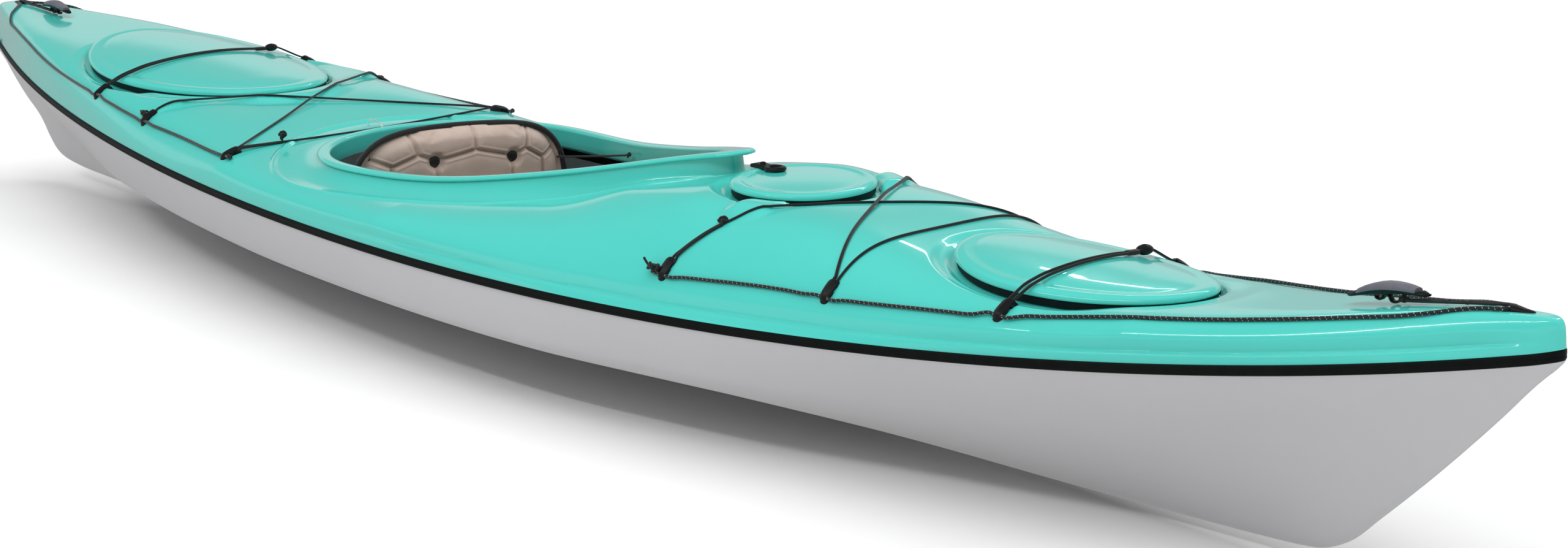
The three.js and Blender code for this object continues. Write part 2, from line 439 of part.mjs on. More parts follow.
function endEye(x, dir) {        // low eye on the centre line; dir points to the boat's end
  const z = eyeZ(x) + 1.2, dz = (d) => eyeZ(x + dir * d) - eyeZ(x);
  const body = sideProfile([[x - dir * 10, z + dz(-10)], [x - dir * 8, z + 5.6], [x, z + 8.6], [x + dir * 8, z + 6.6], [x + dir * 22, z + 2.6 + dz(22)], [x + dir * 25, z + dz(25)]], -7.5, 7.5);
  const bore = new THREE.CylinderGeometry(2.7, 2.7, 40, 10);
  bore.translate(x, 0, z + 4.2);
  return cut(body, bore);
}
add('bow_end_fitting', endEye(BOW_EYE_X, 1), BLACK, 0.5);
add('stern_end_fitting', endEye(STERN_EYE_X, -1), BLACK, 0.5);

function throughCleat(x, ds) {   // points on the axis of a cleat's bore
  const y = cleatY(x), n = deckNormal(x, y), t = new THREE.Vector3(1, 0, 0).addScaledVector(n, -n.x).normalize();
  const [px, py, pz] = overDeck(x, y, LINE_LIFT);
  return ds.map((d) => [px + t.x * d, py + t.y * d, pz + t.z * d]);
}
function foreLine() {            // port side, from the bow to the cleat beside the day hatch
  const free = (x) => overDeck(x, x > 1640 ? Math.max(Math.min(lineY(x), 12 + (1860 - x) * 0.4), 13) : lineY(x), LINE_LIFT - 1);
  const { d, e, f } = FITTING_X;
  return rod([...[1866, 1820, 1740, 1600, 1480, 1360].map(free), ...throughCleat(f, [13, -13]), ...[1160, 1050].map(free), ...throughCleat(e, [13, -13]), ...[860, 760].map(free), ...throughCleat(d, [13, -13])], CORD);
}
function aftLine() {
  const free = (x) => overDeck(x, x < -1650 ? Math.max(Math.min(lineY(x), 12 + (x + 1808) * 0.75), 13) : lineY(x), LINE_LIFT - 1);
  const { a, b, c } = FITTING_X;
  return rod([...[-1800, -1740, -1660, -1560, -1440, -1320, -1190].map(free), ...throughCleat(a, [-13, 13]), free(-950), ...throughCleat(b, [-13, 13]), ...[-720, -610].map(free), ...throughCleat(c, [-13, 13])], CORD);
}
const fl = foreLine(), al = aftLine();
add('fore_deck_line_port', fl, BLACK, 0.8);
add('fore_deck_line_starboard', mirrorY(fl), BLACK, 0.8);
add('aft_deck_line_port', al, BLACK, 0.8);
add('aft_deck_line_starboard', mirrorY(al), BLACK, 0.8);

// bungee laid over the deck between two cleats, ending clear of them
function laid(x0, s0, x1, s1, lift = 5.6, pull = 0) {
  const y0 = s0 * (cleatY(x0) - 34), y1 = s1 * (cleatY(x1) - 34), pts = [];
  for (let i = 0; i <= 10; i++) {
    const t = i / 10, x = x0 + (x1 - x0) * t + pull * Math.sin(Math.PI * t), y = y0 + (y1 - y0) * t;
    const edge = Math.max(0, 1 - Math.min(t, 1 - t) / 0.1);
    pts.push(overDeck(x, y, lift + 2.2 * edge));
  }
  return rod(pts, BUNGEE);
}
const { b: xB, c: xC, d: xD, e: xE } = FITTING_X;
add('fore_deck_bungee', join(laid(xD, -1, xE, 1), laid(xE, -1, xD, 1), laid(xE, -1, xE, 1)), BLACK, 0.8);
add('aft_deck_bungee', join(laid(xB, -1, xC, 1), laid(xC, -1, xB, 1), laid(xC, -1, xC, 1, 5.6, 22)), BLACK, 0.8);

// clear loop on the centre line behind the cockpit; the bungee span runs under it
const bailX = -474;
add('bungee_guide_loop', rod([[bailX - 21, 0, eyeZ(bailX - 21) + 2.6], [bailX - 20, 0, eyeZ(bailX) + 11], [bailX - 15, 0, eyeZ(bailX) + 17], [bailX - 5, 0, eyeZ(bailX) + 20], [bailX + 4, 0, eyeZ(bailX) + 18.5], [bailX + 10, 0, eyeZ(bailX) + 12], [bailX + 11, 0, eyeZ(bailX + 11) + 3.2]], 2), 0xd7dedd, 0.15);

function cleatNose(x, clear) {   // point just inboard of a port cleat's nose
  const y = cleatY(x), n = deckNormal(x, y), t = new THREE.Vector3(1, 0, 0).addScaledVector(n, -n.x).normalize(), w = n.clone().cross(t).normalize();
  if (w.y < 0) w.negate();
  return [x, y - w.y * (29 + clear) + n.y * 7, deckZ(x, y) - w.z * (29 + clear) + n.z * 7];
}
// hatch straps: a doubled bungee over the cover, from the starboard cleat to a hook at the port cleat
function strap(h, x) {
  const f = hatchPlane(h), side = cleatY(x), strands = [];
  for (const d of [-5.5, 5.5]) {
    const yEdge = h.half * Math.sqrt(1 - Math.pow((x - h.xm) / (x > h.xm ? h.fore : h.aft), 2));
    const crown = h.half > 150 ? 4 : 3;
    const top = (y) => f(x, y) + 4.2 + crown * clamp((1 - Math.abs(y) / yEdge) / 0.3, 0, 1) + BUNGEE + 1.8;
    const pts = [[x + d, -(side - 34), deckZ(x, side - 34) + 8], [x + d, -(yEdge + 5), f(x, yEdge) + 6], [x + d, -(yEdge - 4), f(x, yEdge - 4) + 4.2 + BUNGEE + 3]];
    for (const k of [-0.85, -0.7, -0.45, -0.2, 0.05, 0.3, 0.45, 0.62]) pts.push([x + d * (k < 0 ? 0.6 - 0.4 * k : 0.6 - 0.2 * k), yEdge * k, top(yEdge * k)]);
    strands.push(rod(pts, BUNGEE));
  }
  const yEdge = h.half, z = top2(h, x, yEdge * 0.6), end = slab(x - 7, x + 7, yEdge * 0.56, yEdge * 0.66, z, z + 7);
  return join(strands[0], strands[1], end);
}
const top2 = (h, x, y) => hatchPlane(h)(x, y) + 5.4 + (h.half > 150 ? 4 : 3);
function strapHook(h, x) {       // ring knob and flat hook that reaches the port cleat
  const y0 = h.half * 0.66 + 0.4, z = top2(h, x, h.half * 0.72) + 7;
  const g = new THREE.SphereGeometry(11, 10, 8);
  g.scale(1, 1.15, 0.62);
  g.translate(x, y0 + 12.7, z);
  const f = hatchPlane(h), yEdge = h.half * Math.sqrt(1 - Math.pow((x - h.xm) / (x > h.xm ? h.fore : h.aft), 2)), nose = cleatNose(x, 3);
  const blade = loft([[y0 + 16.3, z + 0.37], [yEdge - 8, Math.max(f(x, yEdge - 8) + 9.6, z - 9)], [yEdge + 3.4, f(x, yEdge) + 4.5], [nose[1], nose[2]]].map(([y, zz]) => [[x - 4.7, y, zz - 1.7], [x + 4.7, y, zz - 1.7], [x + 4.7, y, zz + 1.5], [x - 4.7, y, zz + 1.5]]));
  return join(tidy(g), blade);
}
add('bow_hatch_strap', strap(BOW_HATCH, FITTING_X.f), BLACK, 0.8);
add('bow_hatch_strap_hook', strapHook(BOW_HATCH, FITTING_X.f), BLACK, 0.45);
add('stern_hatch_strap', strap(STERN_HATCH, FITTING_X.a), BLACK, 0.8);
add('stern_hatch_strap_hook', strapHook(STERN_HATCH, FITTING_X.a), BLACK, 0.45);

// ---------------------------------------------------------------- carry toggles at bow and stern
function toggle(ref, dir, near) {      // dir points to the boat's end; the cords start inboard of the eye
  const at = (d, y, h) => [ref - dir * d, y, deckZ(ref - dir * d, 0) + h];
  const grip = loft([[100, 7.5, 13, 4.5], [108, 9.6, 18, 7], [122, 11.6, 25, 9.5], [145, 13, 30, 11], [168, 13, 31, 11], [192, 12, 26, 9.5], [208, 10, 18, 7], [216, 8, 13, 4.5]].map(([d, low, top, w]) => {
    const [x, , z] = at(d, 0, (low + top) / 2), hh = (top - low) / 2;
    return [[x, -w, z - hh * 0.6], [x, -w * 0.7, z - hh], [x, w * 0.7, z - hh], [x, w, z - hh * 0.6], [x, w * 0.85, z + hh * 0.6], [x, w * 0.35, z + hh], [x, -w * 0.35, z + hh], [x, -w * 0.85, z + hh * 0.6]];
  }));
  const strand = (s) => rod([at(near, 2.6 * s, 6), at(50, 3.6 * s, 5), at(95, 3.8 * s, 4.6), at(134, 3.4 * s, 5)], 1.8);
  const [cx, , cz] = at(136, 0, 6);
  const block = slab(cx - 3.5, cx + 3.5, -6, 6, cz - 3, cz + 4.4);
  const cord = join(strand(1), strand(-1), block);
  return { grip, cord: cut(cord, grown(grip)) };
}
function grown(g) {              // the same solid, a little larger, to cut clearance with
  const c = g.clone();
  c.computeBoundingBox();
  const m = c.boundingBox.getCenter(new THREE.Vector3());
  c.translate(-m.x, -m.y, -m.z); c.scale(1.012, 1.03, 1.06); c.translate(m.x, m.y, m.z);
  return c;
}
function keeper(ref, dir) {      // small hook on the deck that the grip rests over
  const x = ref - dir * 159, z = Math.max(deckZ(x - 15, 0), deckZ(x + 15, 0)) + 1.2;
  return sideProfile([[x - 15, z + 1], [x + 15, z + 1], [x + 13, z + 3.6], [x + 4, z + 4.8], [x + 3, z + 7.4], [x - 3, z + 7.6], [x - 4, z + 4.8], [x - 13, z + 3.6]], -4, 4);
}
for (const [end, ref, dir, near] of [['bow', BOW_GRIP_X, 1, 0], ['stern', STERN_EYE_X, -1, 14]]) {
  const t = toggle(ref, dir, near);
  add(`${end}_toggle_grip`, t.grip, SILVER, 0.5);
  add(`${end}_toggle_cord`, t.cord, BLACK, 0.8);
  add(`${end}_toggle_keeper`, keeper(ref, dir), BLACK, 0.5);
}

export default group;
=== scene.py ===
# Sea kayak. Blender works in metres; the shape functions below work in millimetres.
# +X is the bow, +Y is port, +Z is up; the origin is under the middle of the boat at keel height.
import bpy
import math
import numpy as np
from mathutils import Matrix, Vector


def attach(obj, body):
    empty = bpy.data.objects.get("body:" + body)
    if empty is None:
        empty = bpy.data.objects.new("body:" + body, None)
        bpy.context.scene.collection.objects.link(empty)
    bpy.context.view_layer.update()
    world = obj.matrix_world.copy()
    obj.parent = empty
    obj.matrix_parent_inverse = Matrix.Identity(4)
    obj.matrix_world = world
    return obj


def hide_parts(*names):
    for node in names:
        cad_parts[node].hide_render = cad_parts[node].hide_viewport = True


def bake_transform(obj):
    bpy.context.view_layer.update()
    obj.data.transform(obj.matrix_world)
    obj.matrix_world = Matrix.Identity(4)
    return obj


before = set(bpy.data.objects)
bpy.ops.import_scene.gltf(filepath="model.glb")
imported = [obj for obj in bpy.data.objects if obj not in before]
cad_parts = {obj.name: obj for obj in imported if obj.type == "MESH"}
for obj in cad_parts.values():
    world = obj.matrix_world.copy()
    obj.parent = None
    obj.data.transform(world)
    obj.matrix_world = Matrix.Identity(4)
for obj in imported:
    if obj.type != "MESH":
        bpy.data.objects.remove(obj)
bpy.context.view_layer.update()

# ------------------------------------------------------------------ camera
YAW, PITCH, ROLL = math.radians(50.94430808), math.radians(13.47288773), math.radians(-1.53829591)
fw = Vector((-math.sin(YAW) * math.cos(PITCH), math.cos(YAW) * math.cos(PITCH), -math.sin(PITCH)))
rt = fw.cross(Vector((0, 0, 1))).normalized()
up = rt.cross(fw)
rt2 = math.cos(ROLL) * rt + math.sin(ROLL) * up
up2 = -math.sin(ROLL) * rt + math.cos(ROLL) * up
cam_data = bpy.data.cameras.new("camera")
cam_data.sensor_fit = "HORIZONTAL"
cam_data.sensor_width = 36.0
cam_data.lens = 4840.93 / 2560 * 36.0
cam_data.clip_start, cam_data.clip_end = 0.05, 100
cam = bpy.data.objects.new("camera", cam_data)
bpy.context.scene.collection.objects.link(cam)
m = Matrix((rt2, up2, -fw)).transposed().to_4x4()
m.translation = Vector((3.82794829, -2.60359519, 1.17821735))
cam.matrix_world = m
bpy.context.scene.camera = cam

# ------------------------------------------------------------------ curves of the hull (mm)
HALF_LENGTH, WALL, SEAM, GAP = 1955.0, 5.0, 6.2, 0.45


def natural(xs, ys):             # natural cubic spline
    xs, ys = np.array(xs, float), np.array(ys, float)
    n, h = len(xs), np.diff(xs)
    A, B = np.zeros((n, n)), np.zeros(n)
    A[0, 0] = A[-1, -1] = 1
    for i in range(1, n - 1):
        A[i, i - 1], A[i, i], A[i, i + 1] = h[i - 1], 2 * (h[i - 1] + h[i]), h[i]
        B[i] = 3 * ((ys[i + 1] - ys[i]) / h[i] - (ys[i] - ys[i - 1]) / h[i - 1])
    c = np.linalg.solve(A, B)

    def f(x):
        t = np.clip(np.asarray(x, float), xs[0], xs[-1])
        i = np.clip(np.searchsorted(xs, t, side="right") - 1, 0, n - 2)
        d = t - xs[i]
        b = (ys[i + 1] - ys[i]) / h[i] - h[i] * (2 * c[i] + c[i + 1]) / 3
        return ys[i] + b * d + c[i] * d * d + (c[i + 1] - c[i]) / (3 * h[i]) * d ** 3
    return f


def pchip(pts):                  # monotone cubic through the points
    a = np.array(pts, float)
    x, y = a[:, 0], a[:, 1]
    h, d = np.diff(x), np.diff(y) / np.diff(x)
    s = np.zeros(len(x))
    s[0], s[-1] = d[0], d[-1]
    for i in range(1, len(x) - 1):
        if d[i - 1] * d[i] > 0:
            w1, w2 = 2 * h[i] + h[i - 1], h[i] + 2 * h[i - 1]
            s[i] = (w1 + w2) / (w1 / d[i - 1] + w2 / d[i])

    def f(q):
        q = np.clip(np.asarray(q, float), x[0], x[-1])
        i = np.clip(np.searchsorted(x, q, side="right") - 1, 0, len(x) - 2)
        t = (q - x[i]) / h[i]
        return (y[i] * (1 + 2 * t) * (1 - t) ** 2 + y[i + 1] * t * t * (3 - 2 * t)
                + h[i] * s[i] * t * (1 - t) ** 2 - h[i] * s[i + 1] * t * t * (1 - t))
    return f


def smoothed(pts, sigma):        # straight pieces with their corners rounded
    a = np.array(pts, float)
    g = np.arange(a[0, 0] - 4 * sigma, a[-1, 0] + 4 * sigma, 4.0)
    v = np.interp(g, a[:, 0], a[:, 1])
    lo, hi = g < a[0, 0], g > a[-1, 0]
    v[lo] = a[0, 1] + (g[lo] - a[0, 0]) * (a[1, 1] - a[0, 1]) / (a[1, 0] - a[0, 0])
    v[hi] = a[-1, 1] + (g[hi] - a[-1, 0]) * (a[-1, 1] - a[-2, 1]) / (a[-1, 0] - a[-2, 0])
    k = np.exp(-0.5 * (np.arange(-int(sigma), int(sigma) + 1) * 4.0 / sigma) ** 2)
    k /= k.sum()
    w = np.convolve(np.pad(v, len(k) // 2, mode="edge"), k, mode="valid")
    return lambda x: np.interp(np.asarray(x, float), g, w)


def linear(pts):
    a = np.array(pts, float)
    return lambda x: np.interp(np.asarray(x, float), a[:, 0], a[:, 1])


def step(lo, hi, x):             # smooth step from 0 at lo to 1 at hi
    t = np.clip((np.asarray(x, float) - lo) / (hi - lo), 0, 1)
    return t * t * (3 - 2 * t)


def smin(a, b, k):               # smooth minimum, rounded over about k
    h = np.clip(0.5 + 0.5 * (b - a) / k, 0, 1)
    return b + (a - b) * h - k * h * (1 - h)


PLAN = [32.0727, -71.6535, -87.2661, 149.526, 78.0874, -67.4321, -338.9746, -2.9682, 326.0939]
SHEER = [41.2343, -17.2326, -91.9093, 45.358, 93.3534, 26.0331, 64.3098, -20.4134, 182.5571]


def half_breadth(x):
    x = np.asarray(x, float)
    b = np.maximum(np.polyval(PLAN, x / 1955), 16)
    t = np.maximum((np.abs(x) - 1925) / 30, 0)
    return b * np.sqrt(np.maximum(1 - t * t, 0.0004))


def seam_z(x):
    return np.polyval(SHEER, np.asarray(x, float) / 1955)


keel_z = pchip([[-1955, 262], [-1947, 240], [-1938, 228], [-1907, 207], [-1858, 177], [-1807, 142], [-1781, 129], [-1757, 108], [-1733, 80], [-1703, 56], [-1683, 48], [-1655, 42], [-1568, 34], [-1492, 31], [-1200, 21], [-900, 11], [-600, 4], [-300, 0.5], [0, 0], [400, 0], [777, 1], [968, 4], [1203, 7], [1418, 12], [1519, 15], [1616, 21], [1662, 39], [1707, 77], [1794, 156], [1876, 237], [1915, 278], [1945, 306], [1955, 315]])
bilge_ratio = smoothed([[-1930, .47], [-1760, .25], [-1600, .326], [-1400, .533], [-1150, .744], [-800, .855], [-400, .931], [0, .969], [400, 1.0], [800, .906], [1050, .755], [1300, .67], [1550, .561], [1800, .517], [1940, .587]], 50)
bilge_z = smoothed([[-1930, 230], [-1760, 125], [-1450, 105], [-1100, 97], [-500, 93], [200, 91], [800, 94], [1150, 103], [1450, 130], [1700, 185], [1940, 300]], 50)
crown_z = natural([-1955, -1850, -1700, -1400, -1050, -650, -450, -200, 0, 200, 400, 600, 850, 1100, 1400, 1600, 1800, 1900, 1955],
                  [344, 345, 339, 324, 301, 280, 256, 247, 250, 267, 292, 319, 322, 296.5, 296, 319, 351, 362, 365])
crown_power = linear([[-1900, 5], [-800, 5], [0, 4], [600, 3.9], [1300, 5], [1900, 5]])
line_inset = linear([[-1955, 5], [-1700, 5], [-1500, 7], [-1300, 10.5], [-1150, 15], [-1000, 20], [-834, 24], [-652, 31], [0, 35.5], [652, 37], [1000, 36], [1140, 33], [1243, 31], [1400, 30.5], [1500, 28.5], [1600, 28], [1800, 25], [1955, 24]])
line_rise = linear([[-1955, 81], [-1700, 81], [-1500, 77], [-1400, 73], [-1300, 68], [-1200, 64.5], [-1100, 62], [-1000, 59], [-900, 54], [-834, 50.5], [-750, 49], [-600, 50], [1000, 50], [1243, 50.5], [1300, 48.5], [1400, 49.5], [1500, 52], [1700, 52], [1955, 52]])


def end_round(x):
    x = np.asarray(x, float)
    a = np.power(np.clip(1 - np.power(np.clip((-1850 - x) / 105.2, 0, 1), 2.6), 0, 1), 1 / 2.6)
    b = np.power(np.clip(1 - np.power(np.clip((x - 1919) / 36.2, 0, 1), 4.5), 0, 1), 1 / 4.5)
    return np.where(x < -1850, a, np.where(x > 1919, b, 1.0))


def deck_z(x, y):                # smooth deck before hatches and cockpit
    x, y = np.broadcast_arrays(np.asarray(x, float), np.asarray(y, float))
    b = half_breadth(x)
    s = seam_z(x) + SEAM + GAP
    h = (crown_z(x) - s) * end_round(x)
    p = crown_power(x)
    u = np.clip(np.abs(y) / b, 0, 1)
    u0 = np.clip(1 - line_inset(x) / b, .3, .97)
    f0 = np.clip(line_rise(x) / np.maximum(h, 1), .2, np.where(x < -700, .94, np.where(x > 1100, .9, .8)))
    q = np.clip(np.log(1 - u0 ** p) / np.log(f0), .8, 12)
    return s + h * np.power(np.clip(1 - u ** p, 0, 1), 1 / q)


def line_y(x):                   # where the deck line runs
    return half_breadth(x) - line_inset(x)


# how far the line and its cleats sit from that curve, sideways
line_shift = smoothed([[-1828, 0], [-1760, 1.5], [-1700, 2.5], [-1500, 3.5], [-1400, 5], [-1000, 5.5], [-900, 3.5], [-834, 2.5], [-760, .5], [-700, .5], [-620, 2.5], [-560, 4.5], [-496, 6], [667, 4.5], [700, 3.5], [760, 1.5], [820, .3], [880, .3], [920, 1.5], [961, 4.5], [1050, 4.5], [1150, 6], [1200, 8.5], [1243, 9.5], [1290, 5.5], [1340, 4], [1500, 3], [1700, 2.5], [1800, 1], [1870, 0]], 20)


def cleat_y(x):
    return line_y(x) + line_shift(x)


# ------------------------------------------------------------------ openings in plan
BOW_HATCH = dict(xm=1205, fore=227, aft=180, half=122, z0=302.4, slope=-0.027, xc=1300, k=0.0008, crown=3.0)
STERN_HATCH = dict(xm=-1085, fore=343, aft=277, half=179, z0=312.8, slope=-0.064, xc=-1000, k=0.0006, crown=4.0)
DAY_HATCH = dict(xm=668, fore=105, aft=105, half=105, z0=331.5, slope=-0.027, xc=667, k=0.0, crown=1.5)
FIT_X = dict(a=-1058, b=-834, c=-496, d=667, e=961, f=1243)
BOW_EYE, STERN_EYE, BOW_GRIP = 1886.0, -1828.0, 1872.0


def egg(h, inset, n):
    t = np.linspace(0, 2 * np.pi, n, endpoint=False)
    c, s = np.cos(t), np.sin(t)
    return np.stack([h["xm"] + np.where(c > 0, h["fore"] - inset, h["aft"] - inset) * c, (h["half"] - inset) * s], 1)


def plane(h, x, y):
    return h["z0"] + h["slope"] * (x - h["xc"]) - h["k"] * y * y


def coaming_half(x):
    x = np.asarray(x, float)
    t = np.clip((x + 200) / 700, 0, 1)
    t2 = np.clip((-200 - x) / 230, 0, 1)
    return np.where(x > -200, 207 * np.power(1 - t ** 1.6, .9), 207 * np.sqrt(1 - t2 ** 2.3))


def resample(p, n, closed=False):    # n points, equally far apart along a polyline
    q = np.vstack([p, p[:1]]) if closed else p
    d = np.concatenate([[0], np.cumsum(np.linalg.norm(np.diff(q, axis=0), axis=1))])
    t = np.linspace(0, d[-1], n + 1)[:-1] if closed else np.linspace(0, d[-1], n)
    return np.stack([np.interp(t, d, q[:, i]) for i in range(q.shape[1])], 1)


def ring_normals(p):
    t = np.roll(p, -1, 0) - np.roll(p, 1, 0)
    t /= np.linalg.norm(t, axis=1)[:, None]
    return np.stack([t[:, 1], -t[:, 0]], 1)


def soften(p, rounds):           # evens out a closed outline
    for _ in range(rounds):
        p = 0.5 * p + 0.25 * (np.roll(p, 1, 0) + np.roll(p, -1, 0))
    return p


xs_ = np.concatenate([500 - 700 * np.linspace(0, 1, 600) ** 1.6, (-200 - 230 * np.sin(np.linspace(0, np.pi / 2, 300)))[1:]])
half_ = np.stack([xs_, coaming_half(xs_)], 1)
COCKPIT = resample(np.vstack([half_, (half_[1:-1] * [1, -1])[::-1]]), 420, closed=True)
COCKPIT = soften(COCKPIT, 20)
COCKPIT_N = ring_normals(COCKPIT)
lip_z = natural([-470, -430, -320, -160, 0, 160, 320, 480, 560], [266, 266, 264, 265, 272, 292, 319, 349, 361])


def distance(p, loop):           # distance from points to a closed outline, negative inside, and the nearest index
    d = np.full(len(p), 1e9)
    k = np.zeros(len(p), int)
    for i in range(0, len(p), 20000):
        q = p[i:i + 20000]
        dd = ((q[:, None, :] - loop[None]) ** 2).sum(2)
        j = dd.argmin(1)
        k[i:i + 20000] = j
        d[i:i + 20000] = np.sqrt(dd[np.arange(len(q)), j])
    t = np.roll(loop, -1, 0) - np.roll(loop, 1, 0)
    t /= np.linalg.norm(t, axis=1)[:, None]
    nn = np.stack([t[:, 1], -t[:, 0]], 1)
    sd = ((p - loop[k]) * nn[k]).sum(1)
    along = np.sqrt(np.maximum(d * d - sd * sd, 0))
    return np.where(along < 6, sd, np.where(sd > 0, d, -d)), k


band_width = linear([[-450, 96], [-380, 92], [-300, 88], [-200, 79], [0, 70], [150, 67], [200, 62], [260, 52], [330, 44], [420, 38], [520, 34]])
chevron = linear([[0, -684], [80, -726], [138, -788], [192, -807], [240, -835]])


WELL = pchip([[-60, -18], [5, -18], [12, -11], [20, -8.8], [28, -3.5], [39, 7], [60, 20], [130, 60]])
TIGHT = pchip([[-60, -18], [2.5, -18], [6.5, -7.5], [11, -2.5], [18, -0.5], [34, 3], [60, 12], [130, 60]])


def deck_top(x, y):              # the finished deck: shoulders, cockpit band, ledge and hatch wells
    x, y = (np.asarray(v, float).ravel() for v in np.broadcast_arrays(x, y))
    a = np.abs(y)
    z = deck_z(x, y)
    # raised shoulders on both sides of the day hatch
    z = z + 13 * step(290, 450, x) * (1 - step(585, 740, x)) * np.where(a > 135, np.exp(-((a - 135) / 52) ** 2), 1)
    # ledge in front of the stern hatch
    s = chevron(a) - x
    z = z + 9.0 * step(-4.5, 4.5, s) * (1 - step(80, 330, s)) * (1 - step(190, 245, a))
    # level band round the cockpit coaming
    near = (x > -620) & (x < 680) & (a < 330)
    if near.any():
        p = np.stack([x[near], y[near]], 1)
        n, k = distance(p, COCKPIT)
        w = band_width(COCKPIT[k, 0])
        K = COCKPIT[k] + COCKPIT_N[k] * w[:, None]
        ka = np.abs(K[:, 1])
        zc = deck_z(K[:, 0], K[:, 1]) + 13 * step(290, 450, K[:, 0]) * (1 - step(585, 740, K[:, 0])) * np.where(ka > 135, np.exp(-((ka - 135) / 52) ** 2), 1)
        flat = zc - 3.4 + 0.02 * (w - n) + np.maximum(n - w + 3, 0) * 1.1
        z[near] = smin(z[near], flat, 3.0)
    for h in (BOW_HATCH, STERN_HATCH, DAY_HATCH):
        near = (x > h["xm"] - h["aft"] - 110) & (x < h["xm"] + h["fore"] + 110) & (a < h["half"] + 110)
        if not near.any():
            continue
        p = np.stack([x[near], y[near]], 1)
        n, _ = distance(p, egg(h, 0, 720))
        pl = plane(h, p[:, 0], p[:, 1])
        px, py = p[:, 0], p[:, 1]
        if h is BOW_HATCH:
            close = step(1290, 1400, px)
        elif h is STERN_HATCH:
            close = step(-1010, -930, px)
        else:
            close = step(676, 700, px) * (1 - step(738, 752, px)) * step(0, 30, np.abs(py))
        floor = pl + WELL(n) * (1 - close) + TIGHT(n) * close
        lift = step(3, 10, n) * (1 - step(26, 70, n)) * close * (1 - step(170, 240, np.abs(py)))
        if h is not BOW_HATCH:   # low rib that stands along this part of the well
            z[near] = z[near] + np.maximum((1.5 if h is STERN_HATCH else -1.5) + pl - z[near], 0) * lift
        # finger scoop behind the aft end of the two oval hatches
        if h is not DAY_HATCH:
            big = h is STERN_HATCH
            cx, cy = h["xm"] - h["aft"] + (2 if big else 3), (-78 if big else -56)
            e = np.sqrt(((p[:, 0] - cx) / (33 if big else 27)) ** 2 + ((p[:, 1] - cy) / (52 if big else 36)) ** 2)
            floor = smin(floor, pl - 18 + 26 * np.maximum(e - 0.6, 0) ** 1.5, 3.0)
        z[near] = smin(z[near], floor, 3.0)
    return z


def deck_at(x, y):
    return float(deck_top(np.array([x]), np.array([y]))[0])


def deck_normal(x, y, e=2.0):
    gx = (deck_at(x + e, y) - deck_at(x - e, y)) / (2 * e)
    gy = (deck_at(x, y + e) - deck_at(x, y - e)) / (2 * e)
    n = np.array([-gx, -gy, 1.0])
    return n / np.linalg.norm(n)


def cad_normal(x, y, e=2.0):
    gx = float(deck_z(x + e, y) - deck_z(x - e, y)) / (2 * e)
    gy = float(deck_z(x, y + e) - deck_z(x, y - e)) / (2 * e)
    n = np.array([-gx, -gy, 1.0])
    return n / np.linalg.norm(n)


def stations(lo, hi, mid, fine, ends=90):   # closer together near both ends
    x, out = lo, [lo]
    while x < hi:
        d = min(x - lo, hi - x)
        x += max(fine, min(mid, fine + (mid - fine) * d / ends))
        out.append(min(x, hi))
    if out[-1] - out[-2] < 0.3:
        out.pop(-2)
    return np.array(out)


# ------------------------------------------------------------------ mesh helpers
ROOT = bpy.context.scene.collection


def new_object(name, verts, faces, mat=None, smooth=True, sharp=None, uv=None):
    me = bpy.data.meshes.new(name)
    v = np.asarray(verts, float) * 0.001
    me.from_pydata([tuple(p) for p in v.tolist()], [], [tuple(f) for f in faces])
    me.validate()
    me.update()
    if uv is not None:
        layer = me.uv_layers.new(name="route")
        layer.data.foreach_set("uv", np.asarray(uv, np.float32).ravel())
    if smooth:
        me.shade_smooth()
        if sharp is not None:
            me.set_sharp_from_angle(angle=math.radians(sharp))
    ob = bpy.data.objects.new(name, me)
    ROOT.objects.link(ob)
    if mat is not None:
        me.materials.append(mat)
    return ob


def grid_faces(n, m, wrap_n=False, wrap_m=False, offset=0):
    i = np.arange(n if wrap_n else n - 1)[:, None]
    j = np.arange(m if wrap_m else m - 1)[None, :]
    a = i * m + j
    b = i * m + (j + 1) % m
    c = ((i + 1) % n) * m + (j + 1) % m
    d = ((i + 1) % n) * m + j
    return (np.stack([a, b, c, d], -1).reshape(-1, 4) + offset).tolist()


def turn_out(ob):                # faces point outwards
    import bmesh
    bm = bmesh.new()
    bm.from_mesh(ob.data)
    bmesh.ops.recalc_face_normals(bm, faces=bm.faces)
    bm.to_mesh(ob.data)
    bm.free()
    return ob


def loft_mesh(rings):            # closed rings, capped at both ends
    rings = np.asarray(rings, float)
    n, m = rings.shape[:2]
    verts = rings.reshape(-1, 3)
    faces = grid_faces(n, m, wrap_m=True)
    faces.append(list(range(m))[::-1])
    faces.append(list(range((n - 1) * m, n * m)))
    return verts, faces


def hoop_mesh(sections):         # closed sections round a closed loop
    s = np.asarray(sections, float)
    n, m = s.shape[:2]
    return s.reshape(-1, 3), grid_faces(n, m, wrap_n=True, wrap_m=True)


def boolean(ob, cutters, op="DIFFERENCE"):
    for c in cutters:
        md = ob.modifiers.new("cut", "BOOLEAN")
        md.operation = op
        md.object = c
        md.solver = "MANIFOLD"
    dg = bpy.context.evaluated_depsgraph_get()
    me = bpy.data.meshes.new_from_object(ob.evaluated_get(dg))
    old = ob.data
    ob.modifiers.clear()
    ob.data = me
    bpy.data.meshes.remove(old)
    for c in cutters:
        bpy.data.objects.remove(c, do_unlink=True)
    return ob


def finish_shading(ob, mat, sharp=35):
    ob.data.materials.clear()
    ob.data.materials.append(mat)
    for p in ob.data.polygons:
        p.material_index = 0
    ob.data.shade_smooth()
    ob.data.set_sharp_from_angle(angle=math.radians(sharp))
    return ob


